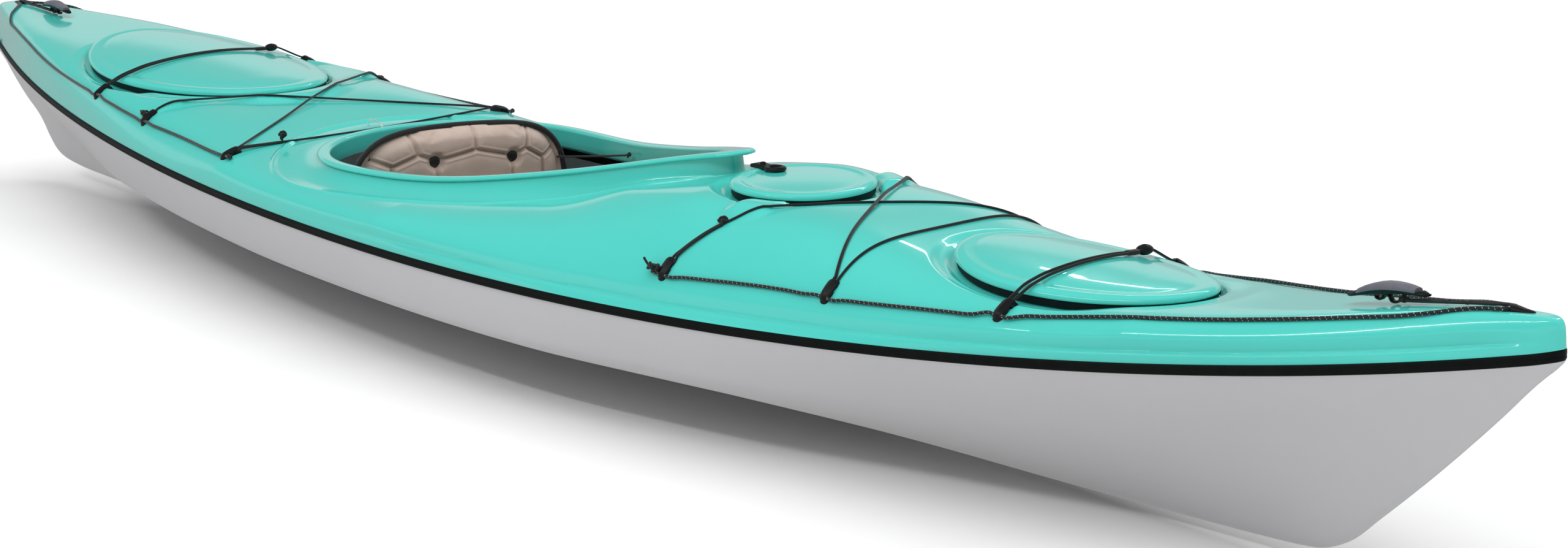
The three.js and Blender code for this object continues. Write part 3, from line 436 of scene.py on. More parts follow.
def smooth_path(points, per=8, closed=False):    # Catmull-Rom through the points
    p = np.asarray(points, float)
    n = len(p)
    out = []
    rng = range(n) if closed else range(n - 1)
    for i in rng:
        if closed:
            p0, p1, p2, p3 = p[(i - 1) % n], p[i], p[(i + 1) % n], p[(i + 2) % n]
        else:
            p1, p2 = p[i], p[i + 1]
            p0 = p[i - 1] if i > 0 else 2 * p1 - p2
            p3 = p[i + 2] if i + 2 < n else 2 * p2 - p1
        d1, d2, d3 = (max(np.linalg.norm(b - a), 1e-6) ** 0.5 for a, b in ((p0, p1), (p1, p2), (p2, p3)))
        m1 = (p2 - p1) + d2 * ((p1 - p0) / d1 - (p2 - p0) / (d1 + d2))
        m2 = (p2 - p1) + d2 * ((p3 - p2) / d3 - (p3 - p1) / (d2 + d3))
        for t in np.linspace(0, 1, per, endpoint=False):
            out.append((2 * t ** 3 - 3 * t ** 2 + 1) * p1 + (t ** 3 - 2 * t ** 2 + t) * m1 + (-2 * t ** 3 + 3 * t ** 2) * p2 + (t ** 3 - t ** 2) * m2)
    if not closed:
        out.append(p[-1])
    return np.array(out)


def tube_arrays(path, radius, sides=14, closed=False, cap=True, flat=1.0, up=None, twist=0.0):
    p = np.asarray(path, float)
    n = len(p)
    if closed:
        t = np.roll(p, -1, 0) - np.roll(p, 1, 0)
    else:
        t = np.gradient(p, axis=0)
    t /= np.maximum(np.linalg.norm(t, axis=1), 1e-9)[:, None]
    ref = np.array([0, 0, 1.0]) if up is None else np.asarray(up, float)
    if abs(t[0] @ ref) > 0.95:
        ref = np.array([0, 1.0, 0])
    a = ref - (ref @ t[0]) * t[0]
    a /= np.linalg.norm(a)
    frames = []
    for i in range(n):
        a = a - (a @ t[i]) * t[i]
        a /= max(np.linalg.norm(a), 1e-9)
        frames.append(a)
    A = np.array(frames)
    if closed:                   # spread the closing twist along the loop
        b0 = np.cross(t[0], A[0])
        end = A[-1] - (A[-1] @ t[0]) * t[0]
        ang = math.atan2(end @ b0, end @ A[0])
        for i in range(n):
            c, s = math.cos(-ang * i / n), math.sin(-ang * i / n)
            A[i] = c * A[i] + s * np.cross(t[i], A[i])
    B = np.cross(t, A)
    r = np.broadcast_to(np.asarray(radius, float), (n,))
    th = np.linspace(0, 2 * np.pi, sides, endpoint=False)
    ca, sa = np.cos(th), np.sin(th)
    ring = p[:, None] + r[:, None, None] * (A[:, None] * (ca[None, :, None] * flat) + B[:, None] * sa[None, :, None])
    verts = ring.reshape(-1, 3)
    faces = grid_faces(n, sides, wrap_n=closed, wrap_m=True)
    arc = np.concatenate([[0], np.cumsum(np.linalg.norm(np.diff(p, axis=0), axis=1))])
    uv = []
    rows = n if closed else n - 1
    last = arc[-1] + (np.linalg.norm(p[0] - p[-1]) if closed else 0)
    for i in range(rows):
        u0, u1 = arc[i], (arc[i + 1] if i + 1 < n else last)
        for j in range(sides):
            v0, v1 = j / sides, (j + 1) / sides
            uv += [(u0 * .001, v0), (u0 * .001, v1), (u1 * .001, v1), (u1 * .001, v0)]
    if not closed and cap:
        k = len(verts)
        faces.append(list(range(sides))[::-1])
        faces.append(list(range((n - 1) * sides, n * sides)))
        uv += [(0, 0)] * (2 * sides)
    return verts, faces, uv


def tube(name, path, radius, mat, sides=14, closed=False, flat=1.0, up=None):
    v, f, uv = tube_arrays(path, radius, sides, closed, True, flat, up)
    return new_object(name, v, f, mat, sharp=50, uv=uv)


def merged(name, parts, mat, sharp=40):      # several closed shapes in one mesh
    V, F, U, k = [], [], [], 0
    for part in parts:
        v, f = part[0], part[1]
        u = part[2] if len(part) > 2 else None
        V.append(np.asarray(v, float))
        F += [[q + k for q in face] for face in f]
        U += u if u is not None else [(0.0, 0.0)] * sum(len(face) for face in f)
        k += len(v)
    ob = new_object(name, np.vstack(V), F, mat, sharp=sharp, uv=U)
    return ob


def mirrored(verts, faces, uv=None):
    v = np.asarray(verts, float) * [1, -1, 1]
    f = [list(face)[::-1] for face in faces]
    if uv is None:
        return v, f
    out, i = [], 0
    for face in faces:
        out += uv[i:i + len(face)][::-1]
        i += len(face)
    return v, f, out


def place(ob, body, nodes):
    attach(ob, body)
    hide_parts(*([nodes] if isinstance(nodes, str) else nodes))
    return ob


# ------------------------------------------------------------------ materials
def srgb(r, g, b):
    return tuple((c / 12.92 if c <= 0.04045 else ((c + 0.055) / 1.055) ** 2.4) for c in (r, g, b)) + (1.0,)


class Nodes:
    def __init__(self, name):
        self.mat = bpy.data.materials.new(name)
        self.mat.use_nodes = True
        self.t = self.mat.node_tree
        self.b = self.t.nodes["Principled BSDF"]
        self.co = self.t.nodes.new("ShaderNodeTexCoord")

    def new(self, kind, **values):
        n = self.t.nodes.new(kind)
        for k, v in values.items():
            if hasattr(n, k) and k not in n.inputs:
                setattr(n, k, v)
            else:
                n.inputs[k].default_value = v
        return n

    def link(self, a, b):
        self.t.links.new(a, b)

    def noise(self, scale, detail=3.0, rough=0.55, source="Object", stretch=None):
        src = self.co.outputs[source]
        if stretch is not None:
            mp = self.new("ShaderNodeMapping")
            mp.inputs["Scale"].default_value = stretch
            self.link(src, mp.inputs["Vector"])
            src = mp.outputs["Vector"]
        n = self.new("ShaderNodeTexNoise", Scale=scale, Detail=detail, Roughness=rough)
        self.link(src, n.inputs["Vector"])
        return n.outputs["Fac"]

    def ramp(self, fac, stops):
        r = self.new("ShaderNodeValToRGB")
        e = r.color_ramp.elements
        while len(e) < len(stops):
            e.new(0.5)
        for i, (p, c) in enumerate(stops):
            e[i].position = p
            e[i].color = c if len(c) == 4 else (*c, 1)
        self.link(fac, r.inputs["Fac"])
        return r.outputs["Color"]

    def math(self, op, a, b=None, c=None):
        n = self.new("ShaderNodeMath")
        n.operation = op
        for i, v in enumerate((a, b, c)):
            if v is None:
                continue
            if isinstance(v, (int, float)):
                n.inputs[i].default_value = v
            else:
                self.link(v, n.inputs[i])
        return n.outputs["Value"]

    def bump(self, height, strength, distance, normal=None):
        n = self.new("ShaderNodeBump")
        n.inputs["Strength"].default_value = strength
        n.inputs["Distance"].default_value = distance
        self.link(height, n.inputs["Height"])
        if normal is not None:
            self.link(normal, n.inputs["Normal"])
        return n.outputs["Normal"]

    def mix(self, fac, a, b):
        n = self.new("ShaderNodeMix")
        n.data_type = "RGBA"
        for sock, v in ((n.inputs[0], fac), (n.inputs[6], a), (n.inputs[7], b)):
            if isinstance(v, (int, float)):
                sock.default_value = v
            elif isinstance(v, tuple):
                sock.default_value = v
            else:
                self.link(v, sock)
        return n.outputs[2]


def moulded(name, color, color2, roughness, coat, coat_rough=0.04, orange=0.02, spec=0.5, scuff=0.02):
    """Gloss thermoformed plastic: slight colour drift, orange peel, a little uneven gloss."""
    k = Nodes(name)
    big = k.noise(1.7, 2, 0.5)
    fine = k.noise(9.0, 3, 0.6)
    f = k.math("ADD", k.math("MULTIPLY", big, 0.7), k.math("MULTIPLY", fine, 0.3))
    k.link(k.ramp(f, [(0.3, color), (0.7, color2)]), k.b.inputs["Base Color"])
    r = k.noise(22.0, 4, 0.65)
    rr = k.math("ADD", k.math("MULTIPLY", r, scuff), roughness - scuff * 0.5)
    k.link(rr, k.b.inputs["Roughness"])
    peel = k.noise(170.0, 2, 0.5)
    wave = k.noise(7.0, 1, 0.4)
    h = k.math("ADD", k.math("MULTIPLY", peel, 0.25), wave)
    nb = k.bump(h, orange, 0.004)
    k.link(nb, k.b.inputs["Normal"])
    k.b.inputs["Coat Weight"].default_value = coat
    k.b.inputs["Coat Roughness"].default_value = coat_rough
    k.b.inputs["Specular IOR Level"].default_value = spec
    return k.mat


def rubber(name, color, color2, roughness, grain=420.0, strength=0.25, spec=0.4):
    """Black moulded rubber or plastic with a fine grain."""
    k = Nodes(name)
    f = k.noise(60.0, 3, 0.6)
    k.link(k.ramp(f, [(0.3, color), (0.75, color2)]), k.b.inputs["Base Color"])
    r = k.noise(140.0, 3, 0.6)
    k.link(k.math("ADD", k.math("MULTIPLY", r, 0.16), roughness - 0.08), k.b.inputs["Roughness"])
    g = k.noise(grain, 3, 0.6)
    k.link(k.bump(g, strength, 0.0006), k.b.inputs["Normal"])
    k.b.inputs["Specular IOR Level"].default_value = spec
    return k.mat


def braid(name, base, high, fleck, pitch=0.0042, flecks=True, strength=0.7, fleck_every=0.0125):
    """Woven cover of a cord. U runs along the cord in metres, V once round it."""
    k = Nodes(name)
    sep = k.new("ShaderNodeSeparateXYZ")
    k.link(k.co.outputs["UV"], sep.inputs["Vector"])
    u, v = sep.outputs["X"], sep.outputs["Y"]
    a = k.math("DIVIDE", u, pitch)
    s1 = k.math("SINE", k.math("MULTIPLY", k.math("ADD", a, k.math("MULTIPLY", v, 3.0)), 6.2832))
    s2 = k.math("SINE", k.math("MULTIPLY", k.math("SUBTRACT", a, k.math("MULTIPLY", v, 3.0)), 6.2832))
    w = k.math("MAXIMUM", s1, s2)
    h = k.math("ADD", k.math("MULTIPLY", w, 0.5), 0.5)
    fuzz = k.noise(900.0, 2, 0.6)
    hh = k.math("ADD", h, k.math("MULTIPLY", fuzz, 0.35))
    # painted shade and highlight: the cord colour follows the weave height, darker in the hollows between the threads
    # and lighter on their raised crowns
    weave_shaded_col = k.ramp(h, [(0.15, base), (0.95, high)])
    if flecks:
        c = k.math("FRACT", k.math("ADD", k.math("DIVIDE", u, fleck_every), k.math("MULTIPLY", v, 1.0)))
        on = k.math("LESS_THAN", k.math("ABSOLUTE", k.math("SUBTRACT", c, 0.5)), 0.07)
        c2 = k.math("FRACT", k.math("SUBTRACT", k.math("DIVIDE", u, pitch), k.math("MULTIPLY", v, 3.0)))
        on2 = k.math("LESS_THAN", k.math("ABSOLUTE", k.math("SUBTRACT", c2, 0.5)), 0.22)
        both = k.math("MULTIPLY", on, on2)
        weave_shaded_col = k.mix(both, weave_shaded_col, fleck)
    k.link(weave_shaded_col, k.b.inputs["Base Color"])
    k.b.inputs["Roughness"].default_value = 0.62
    k.b.inputs["Sheen Weight"].default_value = 0.25
    k.b.inputs["Sheen Roughness"].default_value = 0.4
    k.link(k.bump(hh, strength, 0.0006), k.b.inputs["Normal"])
    return k.mat


TEAL = moulded("deck_teal", srgb(0.285, 0.785, 0.742), srgb(0.30, 0.80, 0.757), 0.22, 0.8, 0.03, 0.02, 0.4)
GREY = moulded("hull_grey", srgb(0.715, 0.715, 0.725), srgb(0.73, 0.73, 0.74), 0.28, 0.4, 0.06, 0.02, 0.4)
TRIM = rubber("seam_black", srgb(0.035, 0.05, 0.05), srgb(0.055, 0.07, 0.07), 0.5, 260.0, 0.12, 0.12)
SEAL = rubber("seal_black", srgb(0.05, 0.06, 0.065), srgb(0.085, 0.095, 0.1), 0.55, 500.0, 0.3, 0.15)
FITTING = rubber("fitting_black", srgb(0.045, 0.05, 0.055), srgb(0.08, 0.085, 0.09), 0.38, 800.0, 0.25, 0.3)
DARKP = rubber("inner_dark", srgb(0.12, 0.12, 0.13), srgb(0.17, 0.17, 0.18), 0.6, 500.0, 0.4, 0.3)
LINE = braid("deck_line_braid", srgb(0.035, 0.045, 0.05), srgb(0.10, 0.115, 0.12), srgb(0.62, 0.68, 0.66), 0.0042, True, 0.4, 0.0078)
SHOCK = braid("bungee_braid", srgb(0.035, 0.04, 0.045), srgb(0.09, 0.095, 0.10), srgb(0.5, 0.5, 0.5), 0.0026, False, 0.35)

# ------------------------------------------------------------------ hull
def hull_half(x, m=72):          # rows of points from keel to seam, one row for each x
    x = np.asarray(x, float)
    b = half_breadth(x)
    s = seam_z(x) - SEAM - GAP
    z0 = np.minimum(keel_z(x), s - 2)
    zc = np.clip(bilge_z(x), z0 + .12 * (s - z0), s - .1 * (s - z0))
    yc = np.clip(bilge_ratio(x), .05, 1) * b
    kf = np.minimum(9, .35 * yc)
    full = np.clip((b - 40) / 120, 0, 1)
    P = lambda y, z: np.stack([y, z], 1)
    A, C, T, K0 = P(kf, z0), P(yc, zc), P(b, s), P(kf * 0, z0)
    mix = lambda p, q, t: p + (q - p) * t
    K1 = mix(A, C, .10)
    P1, P2 = mix(A, C, .70), mix(C, T, .26)
    M1 = mix(A, C, .40) - P(full * 0, full * 1.2)
    M2 = mix(C, T, .62) + P(full * 2.2, full * 0)
    c1, c2 = 2 * M1 - .5 * (K1 + P1), 2 * M2 - .5 * (P2 + T)

    def bez(p, c, q, n, last=False):
        t = np.linspace(0, 1, n + (1 if last else 0), endpoint=last)[:, None, None]
        return (1 - t) ** 2 * p + 2 * t * (1 - t) * c + t * t * q
    c0 = P(kf * 0.9, z0)
    pts = np.concatenate([bez(K0, c0, K1, 16), bez(K1, c1, P1, 40), bez(P1, C, P2, 48), bez(P2, c2, T, 40, True)])   # [k, n, 2]
    for _ in range(10):          # takes the last corners out between the panels
        q = pts.copy()
        q[1:-1] = .5 * pts[1:-1] + .25 * (pts[:-2] + pts[2:])
        q[0, :, 1] = .5 * pts[0, :, 1] + .5 * pts[1, :, 1]
        pts = q
    pts = pts.transpose(1, 0, 2)
    out = np.empty((len(x), m, 2))
    for i in range(len(x)):
        out[i] = resample(pts[i], m)
    return out


def hull_rings(x, half):
    n, m = half.shape[:2]
    r = np.empty((n, 2 * m - 1, 3))
    r[:, :, 0] = x[:, None]
    r[:, :m, 1], r[:, :m, 2] = half[:, ::-1, 0], half[:, ::-1, 1]
    r[:, m:, 1], r[:, m:, 2] = -half[:, 1:, 0], half[:, 1:, 1]
    return r


hx = stations(-1954.6, 1954.6, 9.0, 1.6, 240)
v, f = loft_mesh(hull_rings(hx, hull_half(hx)))
hull = turn_out(new_object("hull", v, f))
ix = hx[(hx > -1790) & (hx < 1760)][::2]
hh = hull_half(ix, 40)
d = np.gradient(hh, axis=1)
d /= np.linalg.norm(d, axis=2)[..., None]
inner = np.stack([np.maximum(hh[..., 0] - d[..., 1] * WALL, 0.02 * np.arange(40)[None, :]), hh[..., 1] + d[..., 0] * WALL], -1)
inner[:, 0, 0] = 0
top = np.stack([half_breadth(ix) - WALL, seam_z(ix) + 40], 1)[:, None]
inner = np.concatenate([inner, top], 1)
v, f = loft_mesh(hull_rings(ix, inner))
hull = boolean(hull, [turn_out(new_object("hull_inside", v, f))])
finish_shading(hull, GREY, 40)
place(hull, "boat", "hull_shell")

# ------------------------------------------------------------------ deck
DX, COLS = ((4.6, 104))
dx = stations(-1954.6, 1954.6, DX, 1.5, 160)


def deck_columns(x, m):          # y positions equally far apart along each section
    t = np.linspace(0, 1, 700)
    u = 1 - (1 - t) ** 2.6
    out = np.empty((len(x), m))
    for i, xi in enumerate(x):
        y = u * float(half_breadth(xi))
        z = deck_z(np.full_like(y, xi), y)
        a = np.concatenate([[0], np.cumsum(np.hypot(np.diff(y), np.diff(z)))])
        out[i] = np.interp(np.linspace(0, a[-1], m), a, y)
    return out


side_depth = lambda x: 5.4 * step(-300, 300, x) * (1 - step(1850, 1945, x))


def side_profile(t):             # t is 0 at the seam and 1 at the deck line
    return -np.interp(t, [.19, .22, .295, .325, .60, .66], [0, .06, .94, .97, .06, 0])


def deck_rows(x, m):
    y = deck_columns(x, m)
    X = np.repeat(x[:, None], m, 1)
    z = deck_top(X, y).reshape(X.shape)
    zl = deck_z(x, line_y(x))[:, None]
    s = (seam_z(x) + SEAM + GAP)[:, None]
    t = np.clip((z - s) / np.maximum(zl - s, 1), 0, 2)
    amp = side_depth(x)[:, None] * side_profile(t) * (y > 0.55 * half_breadth(x)[:, None])
    gy, gz = np.gradient(y, axis=1), np.gradient(z, axis=1)
    l = np.maximum(np.hypot(gy, gz), 1e-9)
    return X, y - gz / l * amp, z + gy / l * amp


X, Y, Z = deck_rows(dx, COLS)
n, mcol = X.shape
V = np.empty((n, 2 * mcol - 1, 3))
V[:, :mcol] = np.stack([X, Y, Z], -1)[:, ::-1]
V[:, mcol:] = (np.stack([X, Y, Z], -1) * [1, -1, 1])[:, 1:]
v, f = loft_mesh(V)
m2 = 2 * mcol - 1
deck = turn_out(new_object("deck", v, f))
ii = dx[(dx > -1790) & (dx < 1760)][:: (3)]
yy = deck_columns(ii, 34)
XX = np.repeat(ii[:, None], 34, 1)
kk = ((half_breadth(ii) - WALL) / half_breadth(ii))[:, None]
zz = np.maximum(deck_top(XX, yy).reshape(XX.shape) - WALL, seam_z(ii)[:, None])
zz[:, -1] = seam_z(ii) - 20
inn = np.stack([XX, yy * kk, zz], -1)
W = np.concatenate([inn[:, ::-1], (inn * [1, -1, 1])[:, 1:]], 1)
v, f = loft_mesh(W)
cutters = [turn_out(new_object("deck_inside", v, f))]


def prism(outline, z0, z1, name="prism"):
    o = np.asarray(outline, float)
    k = len(o)
    v = np.vstack([np.c_[o, np.full(k, z0)], np.c_[o, np.full(k, z1)]])
    f = [list(range(k))[::-1], list(range(k, 2 * k))] + [[i, (i + 1) % k, k + (i + 1) % k, k + i] for i in range(k)]
    return turn_out(new_object(name, v, f))


cutters.append(prism(COCKPIT + COCKPIT_N * 19, 150, 520))
for h in (BOW_HATCH, STERN_HATCH, DAY_HATCH):
    cutters.append(prism(egg(h, 9.6, 200), 200, 520))
deck = boolean(deck, cutters)
finish_shading(deck, TEAL, 45)
place(deck, "boat", "deck_shell")

# ------------------------------------------------------------------ seam strip
sx = stations(-1954.6, 1954.6, 12.0, 1.5, 200)
port = np.stack([sx, half_breadth(sx)], 1)[::-1]
tipf, tipb = np.array([[HALF_LENGTH, 0.0]]), np.array([[-HALF_LENGTH, 0.0]])
rim = np.vstack([tipf, port, tipb, (port * [1, -1])[::-1]])
rim = resample(rim, 900, closed=True)
rim = soften(rim, 2)
rn = ring_normals(rim)
prof = [(-5, -6.2), (1.2, -6.2), (2.2, -5.6), (2.6, -4.6), (2.6, -2.0), (2.1, -1.2), (2.6, -0.4), (2.6, 4.6), (2.2, 5.6), (1.2, 6.2), (-5, 6.2)]
S = []
for a_, b_ in prof:
    q = rim + rn * a_
    S.append(np.c_[q, seam_z(np.clip(q[:, 0], -1955, 1955)) + b_])
v, f = hoop_mesh(np.array(S).transpose(1, 0, 2))
strip = turn_out(new_object("seam_strip_trim", v, f, TRIM, sharp=60))
place(strip, "boat", "seam_strip")

# ------------------------------------------------------------------ cockpit coaming
wide = 22 + 34 * np.exp(-((COCKPIT[:, 0] - 500) / 60) ** 2) * np.maximum(COCKPIT_N[:, 0], 0) ** 2


def off(n):
    n = np.broadcast_to(np.asarray(n, float), (len(COCKPIT),))
    return COCKPIT + COCKPIT_N * n[:, None]


def row(n, base, dz):
    q = off(n)
    return np.c_[q, (lip_z(q[:, 0]) if base == "lip" else 0) + dz]


n0 = wide - 4.5 - 22.0 * (wide - 22) / 34
rows = [row(4, "lip", -12), row(4, "lip", -31.0), row(0.8, "lip", -31.6), row(0, "lip", -30), row(0, "lip", -20), row(0, "lip", -5), row(.3, "lip", -2.6), row(1.3, "lip", -1.0), row(3, "lip", -.1),
        row(6, "lip", .5), row(10, "lip", .8), row(wide - 9, "lip", .6), row(wide - 5, "lip", .1), row(wide - 2.2, "lip", -1.0), row(wide - .6, "lip", -2.6), row(wide, "lip", -4.4),
        row(wide - .4, "lip", -5.4), row(wide - 1.4, "lip", -6.3), row(wide - 2.6, "lip", -6.8), row(n0 + .4, "lip", -7.2)]
# flared skirt that runs into the deck
bw = band_width(COCKPIT[:, 0])
n1 = np.maximum(np.minimum(bw - 6, 62), n0 + 5)
n2 = np.maximum(bw - 4, n0 + 6)
top_ = lip_z(off(n0)[:, 0]) - 7.9
for t in (0.0, .03, .07, .12, .18, .25, .32, .4, .48, .56, .64, .72, .8, .88, .95, 1.0):
    nn = n0 + (n2 - n0) * t
    q, qb = off(nn), off(np.minimum(nn, np.maximum(bw - 5, n0)))
    base = deck_top(qb[:, 0], qb[:, 1])
    hgt = np.maximum(top_ - base, 0)
    u_ = np.clip((nn - n0) / (n1 - n0), 0, 1)
    rows.append(np.c_[q, base + hgt * (1 - u_) ** 2.3 + 0.9])
# rounded crease where the level band meets the deck
amp_ = (.35 + .65 * step(-440, -330, COCKPIT[:, 0])) * (1 - .6 * step(330, 420, COCKPIT[:, 0]))
for d_, a_, lift_ in ((1.5, 0, 1.0), (3.0, .35, .9), (4.6, 1.3, .6), (6.4, 2.3, .3), (8.2, 2.6, .1), (10, 2.3, -.1), (12, 1.5, -.3), (14, .6, -.5), (16, 0, -.9), (18, 0, -2.2)):
    q = off(n2 + d_)
    rows.append(np.c_[q, deck_top(q[:, 0], q[:, 1]) + amp_ * a_ + lift_])
S = np.array(rows).transpose(1, 0, 2)
v = S.reshape(-1, 3)
f = grid_faces(S.shape[0], S.shape[1], wrap_n=True)
coaming = new_object("coaming", v, f, TEAL, sharp=60)
turn_out(coaming)
place(coaming, "boat", "cockpit_coaming")

# ------------------------------------------------------------------ hatches
def hatch_cover(name, h, n=220):
    o0 = egg(h, 0, n)
    c = np.array([h["xm"], 0.0])

    def ring(inset, dz):
        q = egg(h, inset, n)
        return np.c_[q, plane(h, q[:, 0], q[:, 1]) + dz]

    def small(k, dz):
        q = c + (o0 - c) * k
        return np.c_[q, plane(h, q[:, 0], q[:, 1]) + dz]
    big = h is not DAY_HATCH
    R = [small(.02, -3.8), small(.5, -3.8), ring(12, -3.8), ring(9, -5.2), ring(1.5, -5.2), ring(.3, -4.6), ring(0, -3.4), ring(.1, -2.2), ring(.7, -.2), ring(2.0, 1.5), ring(4.2, 2.7), ring(7.5, 3.5), ring(11.5, 3.9), ring(15.5, 3.9)]
    if big:
        R += [ring(19, 3.4), ring(23, 2.9), ring(27, 3.0), ring(32, 3.6), ring(38, 4.4)]
        k0 = 1 - 40 / h["half"]
        lvl = 4.5
    else:
        R += [ring(18, 3.3), ring(20.5, 2.7), ring(24, 2.6), ring(28, 2.7)]
        k0 = 1 - 30 / h["half"]
        lvl = 2.8
    for t in np.linspace(0, 1, 12)[1:]:
        k = k0 * (1 - t) + .004 * t
        R.append(small(k, lvl + (h["crown"] + 4.0 - lvl) * (1 - (1 - t) ** 2)))
    v, f = loft_mesh(np.array(R))
    return turn_out(new_object(name, v, f, TEAL, sharp=60))


def hatch_collar(name, h, low, n=200):
    R = []
    for inset, top_, dz in [(10, 0, 0), (9.4, 1, -9.4), (9.8, 1, -8.6), (10.8, 1, -8.1), (15.6, 1, -8.1), (16.6, 1, -8.6), (17, 1, -9.4), (17, 0, 0)]:
        q = egg(h, inset, n)
        zt = plane(h, q[:, 0], q[:, 1]) + dz
        R.append(np.c_[q, zt if top_ else low(q)])
    S = np.array(R).transpose(1, 0, 2)
    v, f = hoop_mesh(S)
    return turn_out(new_object(name, v, f, SEAL, sharp=60))


def hatch_gasket(name, h, n=200):    # soft skirt that hangs from the cover
    R = []
    for inset, dz in [(3.0, -5.0), (2.6, -9), (2.8, -14.2), (3.6, -15.4), (5.4, -15.4), (6.4, -14.2), (6.6, -5.0)]:
        q = egg(h, inset, n)
        R.append(np.c_[q, plane(h, q[:, 0], q[:, 1]) + dz])
    v, f = hoop_mesh(np.array(R).transpose(1, 0, 2))
    return turn_out(new_object(name, v, f, SEAL, sharp=60))


for key, h, body in (("bow", BOW_HATCH, "bow_cover"), ("stern", STERN_HATCH, "stern_cover"), ("day", DAY_HATCH, "day_cover")):
    c = hatch_cover(key + "_cover", h)
    place(c, body, key + "_hatch_cover")
    place(hatch_gasket(key + "_gasket", h), body, key + "_hatch_cover")
    low = (lambda q: deck_z(q[:, 0], q[:, 1]) - 15) if h is not DAY_HATCH else (lambda q: np.full(len(q), 293.0))
    place(hatch_collar(key + "_collar", h, low), "boat", key + "_hatch_collar")

# ------------------------------------------------------------------ deck fittings
def local_axes(x, side):         # point on the deck line, axis along the boat, outboard axis and up axis
    y = float(cleat_y(x))
    n = cad_normal(x, y)
    flat_ = .5 if x == FIT_X["a"] else .6 if x == FIT_X["b"] else .7
    n = np.array([n[0], n[1] * flat_, n[2]])
    n /= np.linalg.norm(n)
    t = np.array([1.0, 0, 0]) - n[0] * n
    t /= np.linalg.norm(t)
    w = np.cross(n, t)
    w /= np.linalg.norm(w)
    if w[1] < 0:
        w = -w
    p = np.array([x, y, float(deck_z(x, y))]) - n * 1.7
    if side < 0:
        m_ = np.array([1, -1, 1])
        p, n, t, w = p * m_, n * m_, t * m_, w * m_
    return p, t, w, n


CLEAT = [(5.8, 3.4, 2.4), (5.2, 4.8, 5.0), (3.4, 6.2, 7.6), (1.0, 7.2, 9.2), (-3, 7.8, 10.2), (-8, 8.2, 10.8), (-14, 8.4, 11.2), (-20, 8.5, 11.3), (-24, 8.3, 11.2), (-27, 7.8, 10.2), (-28.6, 6.8, 8.4)]


def cleat_mesh():                # in local (outboard, along, up)
    rings = []
    for a, hw, h in CLEAT:
        bev = min(2.6, h * .35)
        sec = [(-hw, 0.4), (-hw, h - bev - 1.4), (-hw + .5, h - bev), (-hw * .46, h - .35), (-hw * .30, h), (-1.1, h + .15), (0, h + .75), (1.1, h + .15), (hw * .30, h), (hw * .46, h - .35), (hw - .5, h - bev), (hw, h - bev - 1.4), (hw, 0.4)]
        rings.append([(a, c, max(z, 0.4)) for c, z in sec])
    return loft_mesh(rings)


def plate_mesh():                # foot of the cleat
    pts = [(7.4, 0), (6.6, 4.2), (4, 6.8), (0, 8.4), (-6, 9.4), (-18, 10.0), (-26, 9.8), (-29.4, 8.0), (-30.6, 3.4), (-30.6, 0)]
    out = pts + [(a, -c) for a, c in pts[-2:0:-1]]
    o = smooth_path(np.array([(a, c, 0) for a, c in out]), 3, True)[:, :2]
    c0 = o.mean(0)
    rings = []
    for k, z in [(1.0, -2.6), (1.0, 0.9), (.985, 1.5), (.95, 1.9), (.9, 2.0)]:
        q = c0 + (o - c0) * k
        rings.append(np.c_[q, np.full(len(q), z)])
    return loft_mesh(rings)


def to_world(v, frame_):
    p, t, w, n = frame_
    v = np.asarray(v, float)
    return p + v[:, :1] * w + v[:, 1:2] * t + v[:, 2:3] * n


def cylinder_along(p0, p1, r, name="bore", sides=20):
    v_, f_, _ = tube_arrays(np.array([p0, (np.array(p0) + np.array(p1)) / 2, p1]), r, sides)
    return turn_out(new_object(name, v_, f_))


cv, cf = cleat_mesh()
cleat0 = turn_out(new_object("cleat_form", cv, cf))
bores = [cylinder_along((0, -20, 5.2), (0, 20, 5.2), 2.6), cylinder_along((-40, -3.6, 7.0), (-20, -3.4, 6.6), 1.9), cylinder_along((-40, 3.6, 7.0), (-20, 3.4, 6.6), 1.9),
         cylinder_along((-15, -20, 4.6), (-15, -6.6, 4.6), 3.4), cylinder_along((-15, 20, 4.6), (-15, 6.6, 4.6), 3.4)]
cleat0 = boolean(cleat0, bores)
cv = np.array([p.co[:] for p in cleat0.data.vertices]) * 1000
cf = [list(p.vertices) for p in cleat0.data.polygons]
bpy.data.objects.remove(cleat0, do_unlink=True)
pv, pf = plate_mesh()


def place_cleat(name, x, side, node, lug=False):
    fr = local_axes(x, side)
    parts = [(to_world(cv, fr), cf), (to_world(pv, fr), pf)]
    if side < 0:
        parts = [(p[0], [list(q)[::-1] for q in p[1]]) for p in parts]
    ob = merged(name, parts, FITTING, sharp=28)
    turn_out(ob)
    return place(ob, "boat", node)


for k_, x_ in FIT_X.items():
    place_cleat("cleat_%s_port" % k_, x_, 1, "deck_fitting_%s_port" % k_)
    place_cleat("cleat_%s_starboard" % k_, x_, -1, "deck_fitting_%s_starboard" % k_)


